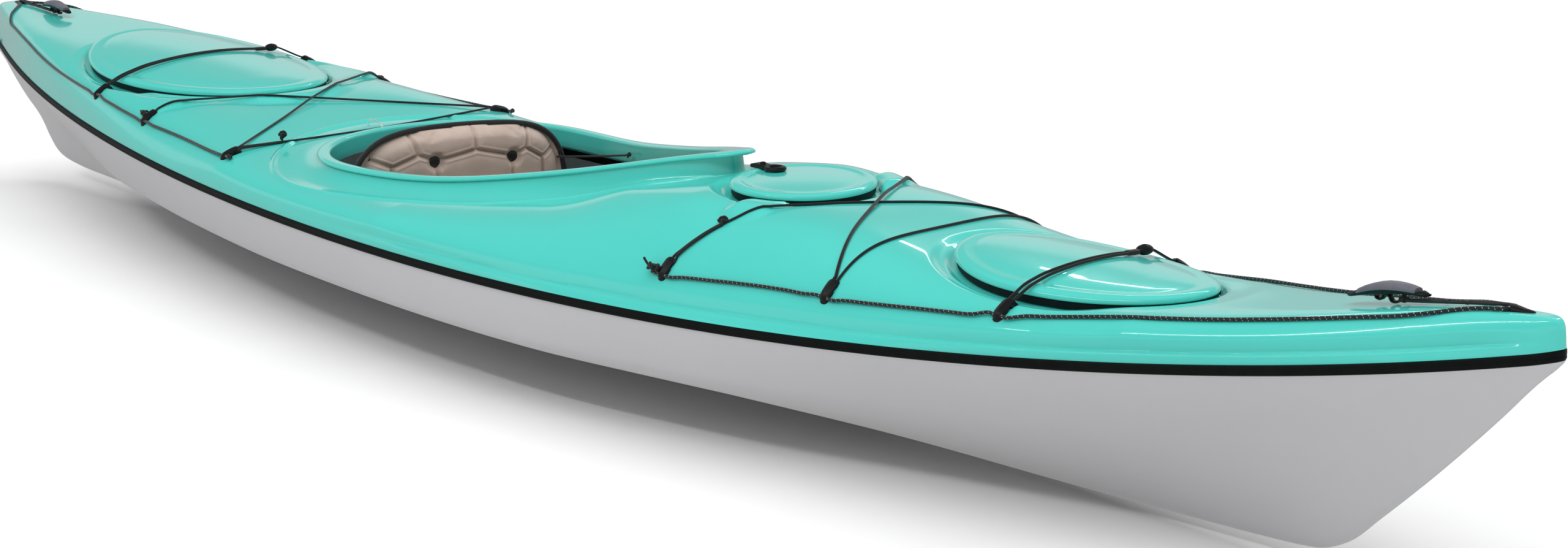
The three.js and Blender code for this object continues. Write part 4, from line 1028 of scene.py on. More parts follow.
def end_eye(name, eye, dr, node):
    z = float(deck_z(eye, 0))
    prof_ = [(-11.0, 5.4, 1.0), (-10.2, 6.6, 2.6), (-8.2, 7.6, 4.4), (-4.4, 8.2, 6.4), (0, 8.4, 7.2), (4.4, 8.2, 6.6), (9, 7.4, 5.0), (16, 6.2, 3.4), (23, 4.6, 2.4), (29, 2.6, 1.4)]
    rings = []
    for d, hw, h in prof_:
        x = eye + dr * d
        zb = float(deck_z(x, 0)) - 1.0
        top_ = z + h if d < 6 else zb + h + 1.2
        sec = [(-hw, zb), (-hw, zb + (top_ - zb) * .45), (-hw * .8, zb + (top_ - zb) * .8), (-hw * .38, top_ - .2), (0, top_ + .3), (hw * .38, top_ - .2), (hw * .8, zb + (top_ - zb) * .8), (hw, zb + (top_ - zb) * .45), (hw, zb)]
        rings.append([(x, y, zz) for y, zz in sec])
    v_, f_ = loft_mesh(rings)
    ob = turn_out(new_object(name, v_, f_))
    ob = boolean(ob, [cylinder_along((eye, -20, z + 3.4), (eye, 20, z + 3.4), 2.5)])
    finish_shading(ob, FITTING, 38)
    return place(ob, "boat", node)


end_eye("bow_eye", BOW_EYE, 1, "bow_end_fitting")
end_eye("stern_eye", STERN_EYE, -1, "stern_end_fitting")

# ------------------------------------------------------------------ deck lines
def on_deck(x, y, lift):
    n = deck_normal(x, y, 4.0)
    return np.array([x, y, deck_at(x, y)]) + n * lift


def bore_points(x, ds):
    p, t, w, n = local_axes(x, 1)
    return [p + n * 5.2 + t * d for d in ds]


def fore_route():
    yf = lambda x: max(min(float(cleat_y(x)), 12 + (1860 - x) * .4), 13) if x > 1640 else float(cleat_y(x))
    z6 = float(deck_z(BOW_EYE, 0)) + 3.6
    pts = [(BOW_EYE, 3.0, z6), (BOW_EYE - 2, 7.6, z6 - .3), (BOW_EYE - 10, 11.4, z6 - 1.6)]
    pts += [on_deck(x, yf(x), l) for x, l in ((1862, 3.0), (1835, 2.7), (1805, 2.7), (1765, 2.7), (1720, 2.7), (1670, 2.7), (1600, 2.7), (1540, 2.7), (1480, 2.7), (1420, 2.7), (1360, 2.7), (1310, 2.8), (1284, 3.4))]
    pts += bore_points(FIT_X["f"], (16, 9, 0, -9, -16))
    pts += [on_deck(x, yf(x), l) for x, l in ((1204, 3.6), (1170, 2.8), (1130, 2.7), (1080, 2.7), (1030, 2.8), (996, 3.4))]
    pts += bore_points(FIT_X["e"], (16, 9, 0, -9, -16))
    pts += [on_deck(x, yf(x), l) for x, l in ((924, 3.4), (895, 2.8), (850, 2.7), (800, 2.7), (750, 2.7), (706, 3.2))]
    pts += bore_points(FIT_X["d"], (16, 9, 0, -9, -14))
    p, t, w, n = local_axes(FIT_X["d"], 1)
    pts += [p + n * 6.6 - t * 19]
    return smooth_path(pts, 5)


def aft_route():
    yf = lambda x: max(min(float(cleat_y(x)), 12 + (x + 1808) * .75), 13) if x < -1650 else float(cleat_y(x))
    z6 = float(deck_z(STERN_EYE, 0)) + 3.6
    pts = [(STERN_EYE, 3.0, z6), (STERN_EYE + 2, 7.6, z6 - .3), (STERN_EYE + 10, 11.0, z6 - 1.4)]
    pts += [on_deck(x, yf(x), l) for x, l in ((-1806, 3.0), (-1790, 2.8), (-1765, 2.7), (-1735, 2.7), (-1700, 2.7), (-1660, 2.7), (-1620, 2.7), (-1570, 2.7), (-1510, 2.7), (-1440, 2.7), (-1360, 2.7), (-1280, 2.7), (-1200, 2.7), (-1130, 2.8), (-1096, 3.4))]
    pts += bore_points(FIT_X["a"], (-16, -9, 0, 9, 16))
    pts += [on_deck(x, yf(x), l) for x, l in ((-1020, 3.2), (-990, 2.8), (-950, 2.7), (-905, 2.8), (-870, 3.4))]
    pts += bore_points(FIT_X["b"], (-16, -9, 0, 9, 16))
    pts += [on_deck(x, yf(x), l) for x, l in ((-798, 3.4), (-765, 2.8), (-710, 2.7), (-650, 2.7), (-590, 2.7), (-548, 2.9), (-532, 3.4))]
    pts += bore_points(FIT_X["c"], (-16, -9, 0, 9, 14))
    p, t, w, n = local_axes(FIT_X["c"], 1)
    pts += [p + n * 6.4 + t * 19]
    return smooth_path(pts, 5)


LINE_R = 2.4


def knot_path(center, size, turn=0.0, tilt=0.0, n=60):
    t = np.linspace(0, 2 * np.pi, n, endpoint=False)
    p = np.stack([np.sin(t) + 2 * np.sin(2 * t), np.cos(t) - 2 * np.cos(2 * t), -1.25 * np.sin(3 * t)], 1) * size / 3
    c, s = math.cos(turn), math.sin(turn)
    p = p @ np.array([[c, s, 0], [-s, c, 0], [0, 0, 1]])
    c, s = math.cos(tilt), math.sin(tilt)
    p = p @ np.array([[1, 0, 0], [0, c, s], [0, -s, c]])
    return p + np.asarray(center)


def flip(part):
    return mirrored(*part)


fore_l, aft_l = fore_route(), aft_route()
for tag, route_, end_x, dr in (("fore", fore_l, "d", -1), ("aft", aft_l, "c", 1)):
    base = tube_arrays(route_, LINE_R, 14)
    p, t, w, n = local_axes(FIT_X[end_x], 1)
    k0 = p + n * 9.4 + t * dr * 19 + (np.array([0, 0, 0]) if end_x != "d" else -w * 5)
    parts = [base]
    if end_x == "d":
        knots = [tube_arrays(knot_path(k0, 8.6, .6, .5), 2.3, 12, closed=True), tube_arrays(knot_path(k0 - n * 1.0 + t * 5, 6.6, 2.0, 1.4), 2.2, 12, closed=True),
                 tube_arrays(smooth_path([k0, k0 + t * dr * 7 + n * 2, k0 + t * dr * 14 + n * 5 - w * 3, k0 + t * dr * 19 + n * 6.5 - w * 6], 5), 1.9, 12)]
        place(merged("fore_line_knot_port", knots, SHOCK), "boat", "fore_deck_line_port")
        place(merged("fore_line_knot_starboard", [flip(q) for q in knots], SHOCK), "boat", "fore_deck_line_starboard")
    else:
        parts.append(tube_arrays(knot_path(p + n * 6.4 + t * dr * 18, 3.4, .6, .5), LINE_R * .9, 12, closed=True))
    place(merged(tag + "_line_port", parts, LINE), "boat", tag + "_deck_line_port")
    place(merged(tag + "_line_starboard", [flip(q) for q in parts], LINE), "boat", tag + "_deck_line_starboard")

# ------------------------------------------------------------------ bungees
def hull_over(d, z):             # lowest taut line over a profile
    keep = []
    for i in range(len(d)):
        while len(keep) >= 2:
            a, b = keep[-2], keep[-1]
            if (z[b] - z[a]) * (d[i] - d[a]) <= (z[i] - z[a]) * (d[b] - d[a]):
                keep.pop()
            else:
                break
        keep.append(i)
    return np.interp(d, d[keep], z[keep])


def taut(p0, p1, r, n=60, pull=0.0, lifts=(0.0, 0.0), bow_out=None):
    t = np.linspace(0, 1, n)
    x = p0[0] + (p1[0] - p0[0]) * t + pull * np.sin(np.pi * t)
    y = p0[1] + (p1[1] - p0[1]) * t
    z = deck_top(x, y) + r + .1
    d = np.concatenate([[0], np.cumsum(np.hypot(np.diff(x), np.diff(y)))])
    z[0], z[-1] = p0[2], p1[2]
    z = np.maximum(hull_over(d, z), z)
    for _ in range(2):
        z[1:-1] = .5 * z[1:-1] + .25 * (z[:-2] + z[2:])
    return np.stack([x, y, z], 1)


def nose(key, side, off=0.0, clear=0.0, up_=6.8):
    p, t, w, n = local_axes(FIT_X[key], side)
    return p - w * (25 + clear) + t * off + n * up_


def nose_in(key, side, off=0.0):
    p, t, w, n = local_axes(FIT_X[key], side)
    return p - w * 22 + t * off + n * 6.6


def strand(k0, s0, k1, s1, r, o0=0.0, o1=0.0, pull=0.0):
    a, b = nose(k0, s0, o0, 8), nose(k1, s1, o1, 8)
    mid = taut(a, b, r, 64, pull)
    out = np.vstack([[nose_in(k0, s0, o0)], [nose(k0, s0, o0, 2)], mid, [nose(k1, s1, o1, 2)], [nose_in(k1, s1, o1)]])
    low_ = deck_top(out[:, 0], out[:, 1]) + r + .3
    out[1:-1, 2] = np.maximum(out[1:-1, 2], low_[1:-1])
    return out


def doubled(path, i0, r, knot_at, gap=9.0):      # two strands side by side up to a knot
    pts = path[:i0]
    d = np.gradient(pts, axis=0)
    d /= np.linalg.norm(d, axis=1)[:, None]
    s = np.cross(d, [0, 0, 1.0])
    s /= np.linalg.norm(s, axis=1)[:, None]
    k = np.linspace(1, .5, len(pts))[:, None]
    return pts + s * gap * k * .5, pts - s * gap * k * .5


def bungee_set(name, node, xs):
    b_, c_ = xs
    parts = []
    first = strand(b_, -1, c_, 1, 1.4, 4.2, -4.2 if c_ != "c" else 4.2)
    return parts


def fore_bungee():
    parts = []
    s1 = strand("d", -1, "e", 1, 1.4, 3.5, -3.5)                    # starboard d to port e
    i = int(np.argmin(np.linalg.norm(s1[:, :2] - np.array([696, -165]), axis=1)))
    l, r = doubled(s1, i + 1, 1.7, None)
    parts += [tube_arrays(l, 2.0, 12), tube_arrays(r, 2.0, 12), tube_arrays(s1[i - 1:], 1.8, 12)]
    k = s1[i] + np.array([-2, 2, 3.5])
    parts += [tube_arrays(knot_path(k, 7.0, .3, .9), 1.9, 12, closed=True), tube_arrays(knot_path(k + [1, 0, 1], 5.2, 1.9, 2.2), 1.8, 12, closed=True)]
    s2 = strand("e", -1, "d", 1, 2.1, -3.5, 3.5)
    s2[3:-3, 2] += 3.0 * np.exp(-((np.arange(len(s2))[3:-3] - len(s2) / 2) / 8.0) ** 2)
    parts.append(tube_arrays(s2, 2.3, 14))
    s3 = strand("e", -1, "e", 1, 1.9, 3.5, 3.5)
    parts.append(tube_arrays(s3, 1.9, 12))
    p, t, w, n = local_axes(FIT_X["d"], 1)
    return parts


def aft_bungee():
    parts = []
    s1 = strand("b", -1, "c", 1, 1.6, 3.5, -3.5)
    parts.append(tube_arrays(s1, 1.8, 12))
    s2 = strand("c", -1, "b", 1, 1.9, -3.5, 3.5)
    s2[3:-3, 2] += 2.8 * np.exp(-((np.arange(len(s2))[3:-3] - len(s2) / 2) / 8.0) ** 2)
    parts.append(tube_arrays(s2, 1.9, 12))
    s3 = strand("c", -1, "c", 1, 1.5, 3.5, 3.5, 22.0)
    i = int(np.argmin(np.linalg.norm(s3[:, :2] - np.array([-489, -176]), axis=1)))
    l, r = doubled(s3, i + 1, 1.6, None)
    parts += [tube_arrays(l, 2.0, 12), tube_arrays(r, 2.0, 12), tube_arrays(s3[i - 1:], 1.8, 12)]
    k = s3[i] + np.array([-1, 2, 11.5])
    parts += [tube_arrays(smooth_path([s3[i] + [2, -1, 0], s3[i] + [1.5, 0, 4.5], k + [1, -1, -3]], 5), 1.7, 12), tube_arrays(smooth_path([s3[i] + [-3, 3, 0], s3[i] + [-2.2, 2, 5], k + [-1, 1, -3]], 5), 1.7, 12)]
    parts += [tube_arrays(knot_path(k, 7.0, .3, .9), 1.9, 12, closed=True), tube_arrays(knot_path(k + [1, 0, 1], 5.2, 1.9, 2.2), 1.8, 12, closed=True)]
    for s in (1, -1):            # knots where the aft bungee ends behind cleat b
        p, t, w, n = local_axes(FIT_X["b"], s)
        k0 = p - w * 14 + n * 8 - t * 14
        parts += [tube_arrays(knot_path(k0, 6.8, .8, .4), 1.9, 12, closed=True), tube_arrays(knot_path(k0 - t * 3 + n * 1.5, 5.0, 2.0, 1.6), 1.8, 12, closed=True),
                  tube_arrays(smooth_path([k0 + t * 8, k0, k0 - t * 9 + n * 2, k0 - t * 14 + n * 4 - w * 2], 5), 1.7, 12)]
    return parts


place(merged("fore_bungee", fore_bungee(), SHOCK), "boat", "fore_deck_bungee")
place(merged("aft_bungee", aft_bungee(), SHOCK), "boat", "aft_deck_bungee")

# clear bail on the centre line behind the cockpit
def clear_plastic():
    k = Nodes("clear_loop")
    k.b.inputs["Base Color"].default_value = (0.93, 0.97, 0.96, 1)
    k.b.inputs["Transmission Weight"].default_value = 0.9
    k.b.inputs["IOR"].default_value = 1.46
    k.link(k.math("ADD", k.math("MULTIPLY", k.noise(60.0, 2), 0.05), 0.06), k.b.inputs["Roughness"])
    k.link(k.bump(k.noise(240.0, 2), 0.04, 0.0008), k.b.inputs["Normal"])
    return k.mat


CLEAR = clear_plastic()
bx = -474
zb = lambda x: deck_at(x, 0)
bail = smooth_path([(bx - 25, 0, zb(bx - 25) - 1.5), (bx - 25, 0, zb(bx - 25) + 4.5), (bx - 23, 0, zb(bx - 22) + 9.5), (bx - 14, 0, zb(bx) + 13.8), (bx - 4, 0, zb(bx) + 15.6), (bx + 8, 0, zb(bx) + 14.2), (bx + 18, 0, zb(bx) + 10), (bx + 23, 0, zb(bx + 22) + 4.5), (bx + 24, 0, zb(bx + 24) - 1.5)], 8)
fw_ = 1.5 + .5 * np.exp(-((np.arange(len(bail)) / (len(bail) - 1) * 2 - 1) ** 2) * 3)
place(tube("bungee_bail", bail, fw_ + .2, CLEAR, 18), "boat", "bungee_guide_loop")

# ------------------------------------------------------------------ hatch straps
def strap_piece(tag, h, key, body):
    x = FIT_X[key]
    f = lambda y: float(plane(h, x, y))
    side = float(cleat_y(x))
    crown = 4 if h["half"] > 150 else 3
    ye = h["half"] * math.sqrt(1 - ((x - h["xm"]) / (h["fore"] if x > h["xm"] else h["aft"])) ** 2)
    r = 2.0
    parts = []
    half_ = h["half"]
    crest = lambda y: f(y) + 4.2 + crown * min(max((1 - abs(y) / half_) / .3, 0), 1) + r + .6
    kn = .69 if half_ > 150 else .645
    y1e = half_ * (kn - .025)
    for d in (-1, 1):
        p, t, w, n = local_axes(x, -1)
        start = p - w * 21 + n * 6.6 + t * d * 3.4
        a = p - w * 31 + n * 6.8 + t * d * 3.8
        ys_ = np.linspace(a[1], y1e, 60)
        xs2 = np.interp(ys_, [a[1], -ye, half_ * .3, y1e], [a[0], x + d * 5.2, x + d * 4.0, x + d * 3.0])
        dk = deck_top(xs2, ys_) + r + .4
        cv_ = np.array([crest(yy) if abs(yy) < ye - 1 else -1e3 for yy in ys_])
        zz = np.maximum(dk, cv_)
        zz[0] = max(a[2], dk[0])
        zz = np.maximum(hull_over(ys_, zz), zz)
        for _ in range(3):
            zz[1:-1] = .5 * zz[1:-1] + .25 * (zz[:-2] + zz[2:])
        pts = [start] + [np.array([xx, yy, z_]) for xx, yy, z_ in zip(xs2, ys_, zz)]
        parts.append(tube_arrays(np.array(pts), r, 12))
    zend = float(zz[-1])
    # crimped sleeve that joins the strands
    y0, y1 = half_ * kn - 21, half_ * kn
    z = zend + .4
    rings = []
    for q, ww, hh in ((0, 4.2, 2.0), (.06, 5.8, 3.2), (.5, 6.2, 3.5), (.94, 6.0, 3.3), (1, 4.6, 2.2)):
        y = y0 + (y1 - y0) * q
        th = np.linspace(0, 2 * np.pi, 20, endpoint=False)
        rings.append(np.stack([x + ww * np.sign(np.cos(th)) * np.abs(np.cos(th)) ** .7, np.full(20, y), z + (1 - q) * 1.2 + hh * np.sign(np.sin(th)) * np.abs(np.sin(th)) ** .7], 1))
    v_, f_ = loft_mesh(rings)
    parts.append((v_, f_))
    ob = merged(tag + "_strap_cord", parts, SHOCK)
    turn_out(ob)
    place(ob, body, tag + "_hatch_strap")
    # knob and hook
    y0 = half_ * kn - .6
    z = zend + .8
    th = np.linspace(0, np.pi, 15)
    rings = []
    for a in th[1:-1]:
        ph = np.linspace(0, 2 * np.pi, 28, endpoint=False)
        rr = math.sin(a)
        rings.append(np.stack([x + 11 * rr * np.cos(ph), y0 + 12.7 - 12.4 * math.cos(a) + 0 * ph, z + 7.0 * rr * np.sin(ph) * (1 - .12 * np.cos(ph) ** 2)], 1))
    v_, f_ = loft_mesh(rings)
    knob = turn_out(new_object("knob", v_, f_))
    knob = boolean(knob, [cylinder_along((x, y0 + 11.5, z - 20), (x, y0 + 11.5, z + 20), 3.6)])
    kv = np.array([p.co[:] for p in knob.data.vertices]) * 1000
    kf = [list(p.vertices) for p in knob.data.polygons]
    bpy.data.objects.remove(knob, do_unlink=True)
    nx_, nw, nn = local_axes(x, 1)[0], local_axes(x, 1)[2], local_axes(x, 1)[3]
    nz = nx_ - nw * 30 + nn * 6
    line_ = [(y0 + 16.3, z + .3), (y0 + 23.0, z - .4), (nz[1] - 1.0, nz[2] + .6), (nz[1] + 6.0, nz[2])]
    path_ = smooth_path([(x, yy_, zz_) for yy_, zz_ in line_], 8)
    rings = []
    for i, q in enumerate(path_):
        t_ = i / (len(path_) - 1)
        ww = 4.7 - 1.3 * t_
        rings.append([(q[0] - ww, q[1], q[2] - .9), (q[0] - ww * .8, q[1], q[2] - 1.5), (q[0] + ww * .8, q[1], q[2] - 1.5), (q[0] + ww, q[1], q[2] - .9), (q[0] + ww, q[1], q[2] + .8), (q[0] + ww * .8, q[1], q[2] + 1.4), (q[0] - ww * .8, q[1], q[2] + 1.4), (q[0] - ww, q[1], q[2] + .8)])
    v_, f_ = loft_mesh(rings)
    ob = merged(tag + "_strap_clip", [(kv, kf), (v_, f_)], FITTING, sharp=40)
    turn_out(ob)
    place(ob, body, tag + "_hatch_strap_hook")


strap_piece("bow", BOW_HATCH, "f", "bow_strap")
strap_piece("stern", STERN_HATCH, "a", "stern_strap")

# ------------------------------------------------------------------ pull ring on the day hatch
ring_top = float(plane(DAY_HATCH, 600, 0)) + 4.7
R0, r0 = 12.6, 3.9
tt = np.linspace(0, 2 * np.pi, 48, endpoint=False)
ring_path = np.stack([606 + R0 * np.cos(tt), R0 * .96 * np.sin(tt), np.full(48, ring_top + 2.7)], 1)
ring_part = tube_arrays(ring_path, r0 + .5 * np.cos(2 * tt), 18, closed=True, flat=.86)


def flat_bar(rows):
    rings = []
    for x_, w_, z0_, z1_ in rows:
        b_ = min(1.6, (z1_ - z0_) * .3)
        rings.append([(x_, -w_, ring_top + z0_), (x_, -w_, ring_top + z1_ - b_), (x_, -w_ + b_, ring_top + z1_), (x_, w_ - b_, ring_top + z1_), (x_, w_, ring_top + z1_ - b_), (x_, w_, ring_top + z0_)])
    return loft_mesh(rings)


# it folds up about its upper rear edge, at x = 569, z = 343
tab = flat_bar([(569.0, 8.5, -.3, 4.9), (569.8, 8.8, -.4, 5.5), (576, 8.6, -.4, 5.8), (588, 8.0, -.4, 5.4), (594.5, 7.4, -.2, 4.6), (596.5, 6.6, .4, 3.4)])
foot = turn_out(new_object("day_pull_ring_foot", *flat_bar([(557, 6.0, 0.3, 2.6), (558.5, 7.8, -.2, 4.2), (562, 8.7, -.4, 5.0), (568, 8.8, -.4, 5.0), (568.6, 8.5, -.3, 4.6)]), FITTING, sharp=40))
place(foot, "day_cover", "day_hatch_cover")
th = np.linspace(0, 2 * np.pi, 20, endpoint=False)
bolt = loft_mesh([np.stack([578 + q * np.cos(th), q * np.sin(th), np.full(20, ring_top + zz_)], 1) for q, zz_ in ((4.6, 4.0), (4.6, 7.3), (4.2, 7.9), (3.0, 8.3), (2.4, 7.4), (.6, 7.4))])
ob = merged("day_pull_ring", [ring_part, tab, bolt], FITTING, sharp=40)
turn_out(ob)
place(ob, "pull_ring", "day_hatch_pull_ring")

# ------------------------------------------------------------------ carry toggles
def toggle_grey():
    k = Nodes("toggle_grey")
    f = k.noise(70.0, 3, .6)
    k.link(k.ramp(f, [(.3, srgb(.36, .36, .40)), (.75, srgb(.42, .42, .455))]), k.b.inputs["Base Color"])
    k.link(k.math("ADD", k.math("MULTIPLY", k.noise(150.0, 3), .12), .40), k.b.inputs["Roughness"])
    k.link(k.bump(k.noise(900.0, 3, .6), .25, .0005), k.b.inputs["Normal"])
    return k.mat


TOGGLE = toggle_grey()


def toggle_set(tag, ref, dr, near):
    at = lambda d, y, h: np.array([ref - dr * d, y, float(deck_z(ref - dr * d, 0)) + h])
    body = tag + "_toggle"
    ds = np.array([99.6, 101, 104, 109, 116, 125, 136, 147, 158, 169, 180, 191, 200, 207, 212, 215, 216.4])
    top_h = np.interp(ds, [99.6, 104, 112, 125, 147, 158, 170, 191, 206, 212, 216.4], [11.0, 14.2, 17.8, 22.8, 27.0, 27.6, 27.0, 22.6, 16.4, 14.0, 10.8])
    top_h = np.array([top_h[0], *(.25 * top_h[:-2] + .5 * top_h[1:-1] + .25 * top_h[2:]), top_h[-1]])
    low_h = np.interp(ds, [99.6, 104, 115, 135, 158, 181, 201, 212, 216.4], [9.8, 9.2, 10.6, 12.4, 13.0, 12.4, 10.4, 9.2, 9.8])
    wid = np.interp(ds, [99.6, 104, 112, 130, 158, 186, 204, 212, 216.4], [2.6, 5.0, 7.0, 9.6, 11.0, 9.8, 7.2, 5.2, 2.8])
    split = low_h + (top_h - low_h) * .42
    shell, under = [], []
    for d, hi, lo, ww, sp_ in zip(ds, top_h, low_h, wid, split):
        c = at(d, 0, 0)
        end = (d < 112 or d > 204)
        hi2 = hi if end else sp_ + .6
        wb = ww * (1.0 if end else .95)
        # straight-sided black base with a slightly rounded foot
        sec = [(wb, sp_), (wb, lo + 2.4), (wb * .86, lo + .7), (wb * .6, lo), (-wb * .6, lo), (-wb * .86, lo + .7), (-wb, lo + 2.4), (-wb, sp_)]
        for a in np.linspace(np.pi, 2 * np.pi, 9)[1:-1]:
            sec.append((wb * math.cos(a), sp_ - (hi2 - sp_) * math.sin(a)))
        under.append([(c[0], y, c[2] + z) for y, z in sec])
        if 110 < d < 206:
            sec = []
            for a in np.linspace(0, np.pi, 15):
                sec.append((ww * 1.02 * (abs(math.cos(a)) ** .8) * (1 if math.cos(a) > 0 else -1), sp_ + (hi + .3 - sp_) * math.sin(a) ** .85))
            for k in np.linspace(-.96, .96, 5):
                sec.append((ww * k, sp_ - .05 if abs(k) < .9 else sp_ - .6))
            shell.append([(c[0], y, c[2] + z) for y, z in sec])
    v_, f_ = loft_mesh(under)
    ob = turn_out(new_object(tag + "_grip_base", v_, f_, FITTING, sharp=50))
    place(ob, body, tag + "_toggle_grip")
    v_, f_ = loft_mesh(shell)
    ob = turn_out(new_object(tag + "_grip_top", v_, f_, TOGGLE, sharp=45))
    place(ob, body, tag + "_toggle_grip")
    parts = []
    for s in (1, -1):
        pts = [at(near - 14, 1.4 * s, 5.4), at(near - 8, 2.0 * s, 6.2), at(near, 2.6 * s, 6.0), at(near + 16, 3.1 * s, 5.2), at(50, 3.4 * s, 4.6), at(95, 3.6 * s, 4.2), at(120, 3.5 * s, 4.4), at(134, 3.4 * s, 4.8)]
        parts.append(tube_arrays(smooth_path(pts, 6), 1.6, 12))
    th_ = np.linspace(0, 2 * np.pi, 20, endpoint=False)
    for d_, q_ in ((48, 0), (76, 0)):
        c = at(d_, 0, 4.8)
        parts.append(loft_mesh([np.stack([np.full(20, c[0] + q), ww * np.cos(th_), c[2] + hh * np.sin(th_)], 1) for q, ww, hh in ((-3, 4.8, 1.8), (-2.4, 5.6, 2.4), (2.4, 5.6, 2.4), (3, 4.8, 1.8))]))
    c = at(136, 0, 5.8)
    parts.append(loft_mesh([np.stack([np.full(20, c[0] + q), ww * np.sign(np.cos(th_)) * np.abs(np.cos(th_)) ** .6, c[2] + hh * np.sign(np.sin(th_)) * np.abs(np.sin(th_)) ** .6], 1) for q, ww, hh in ((-4.2, 5.2, 2.2), (-3.4, 6.3, 3.2), (3.2, 6.3, 3.2), (4.0, 5.2, 2.2))]))
    parts.append(loft_mesh([np.stack([c[0] + 2.6 * np.cos(th_), 3.4 * np.sin(th_), np.full(20, c[2] + q)], 1) for q in (1.5, 4.0, 7.2)]))
    ob = merged(tag + "_toggle_tether", parts, SHOCK)
    turn_out(ob)
    place(ob, body, tag + "_toggle_cord")
    # omega-shaped keeper on the deck
    x0 = ref - dr * 160
    zb_ = max(float(deck_z(x0 - 15, 0)), float(deck_z(x0 + 15, 0))) + 1.0
    path_ = smooth_path([(x0 + dr * q, 0, zb_ + hh) for q, hh in ((-16.5, 4.6), (-15.6, 2.4), (-12, 1.2), (-8.0, 1.6), (-5.8, 4.0), (-4.0, 7.4), (0, 8.8), (4.0, 7.4), (5.8, 4.0), (8.0, 1.6), (12, 1.2), (15.6, 2.0), (16.5, 3.4))], 5)
    rings = []
    tg = np.gradient(path_, axis=0)
    tg /= np.linalg.norm(tg, axis=1)[:, None]
    nm = np.stack([-tg[:, 2], 0 * tg[:, 0], tg[:, 0]], 1)
    for i, q in enumerate(path_):
        e_ = 1 - .35 * abs(2 * i / (len(path_) - 1) - 1) ** 3
        rings.append([q + nm[i] * a + np.array([0, b, 0]) for a, b in ((-1.3, -3.2 * e_), (-.9, -3.8 * e_), (.9, -3.8 * e_), (1.3, -3.2 * e_), (1.3, 3.2 * e_), (.9, 3.8 * e_), (-.9, 3.8 * e_), (-1.3, 3.2 * e_))])
    v_, f_ = loft_mesh(np.array(rings))
    ob = turn_out(new_object(tag + "_keeper", v_, f_, FITTING, sharp=40))
    place(ob, "boat", tag + "_toggle_keeper")


toggle_set("bow", BOW_GRIP, 1, 0)
toggle_set("stern", STERN_EYE, -1, 14)

# ------------------------------------------------------------------ seat
def fabric(name, base, high, scale=0.0011, strength=.35, sheen=.35, rough=.82):
    """Close woven fabric: threads in two directions that don't depend on UVs, slight fading and pilling."""
    k = Nodes(name)
    sep = k.new("ShaderNodeSeparateXYZ")
    k.link(k.co.outputs["Object"], sep.inputs["Vector"])
    x, y, z = sep.outputs["X"], sep.outputs["Y"], sep.outputs["Z"]
    w = 6.2832 / scale
    sy = k.math("SINE", k.math("MULTIPLY", y, w))
    sz = k.math("SINE", k.math("MULTIPLY", k.math("ADD", z, k.math("MULTIPLY", x, .8)), w))
    weave = k.math("ADD", k.math("MULTIPLY", k.math("MULTIPLY", sy, sz), .5), .5)
    blotch = k.noise(26.0, 4, .6)
    fuzz = k.noise(700.0, 3, .7)
    # colour mix: the random fading blotches and pilling fuzz are the cloth's own tone; the weave term is painted shade,
    # darker between the threads and lighter where they cross over
    f = k.math("ADD", k.math("MULTIPLY", blotch, .45), k.math("ADD", k.math("MULTIPLY", fuzz, .35), k.math("MULTIPLY", weave, .2)))
    k.link(k.ramp(f, [(.32, base), (.68, high)]), k.b.inputs["Base Color"])
    h = k.math("ADD", k.math("MULTIPLY", weave, .6), k.math("MULTIPLY", fuzz, .5))
    n1 = k.bump(h, strength, .0005)
    n2 = k.bump(k.noise(40.0, 3, .6), .18, .0025, n1)
    k.link(n2, k.b.inputs["Normal"])
    k.b.inputs["Roughness"].default_value = rough
    k.b.inputs["Sheen Weight"].default_value = sheen
    k.b.inputs["Sheen Roughness"].default_value = .45
    k.b.inputs["Specular IOR Level"].default_value = .25
    return k.mat


TAUPE = fabric("seat_taupe", srgb(.68, .61, .565), srgb(.775, .70, .655))
PIPING = braid("piping_black", srgb(.04, .04, .045), srgb(.13, .13, .135), srgb(.1, .1, .1), .0036, False, .8)
BLACK_FOAM = fabric("foam_black", srgb(.07, .07, .075), srgb(.13, .13, .14), .0016, .4, .2, .85)
BUTTON = rubber("button_black", srgb(.10, .105, .10), srgb(.16, .165, .155), .32, 300.0, .15, .5)


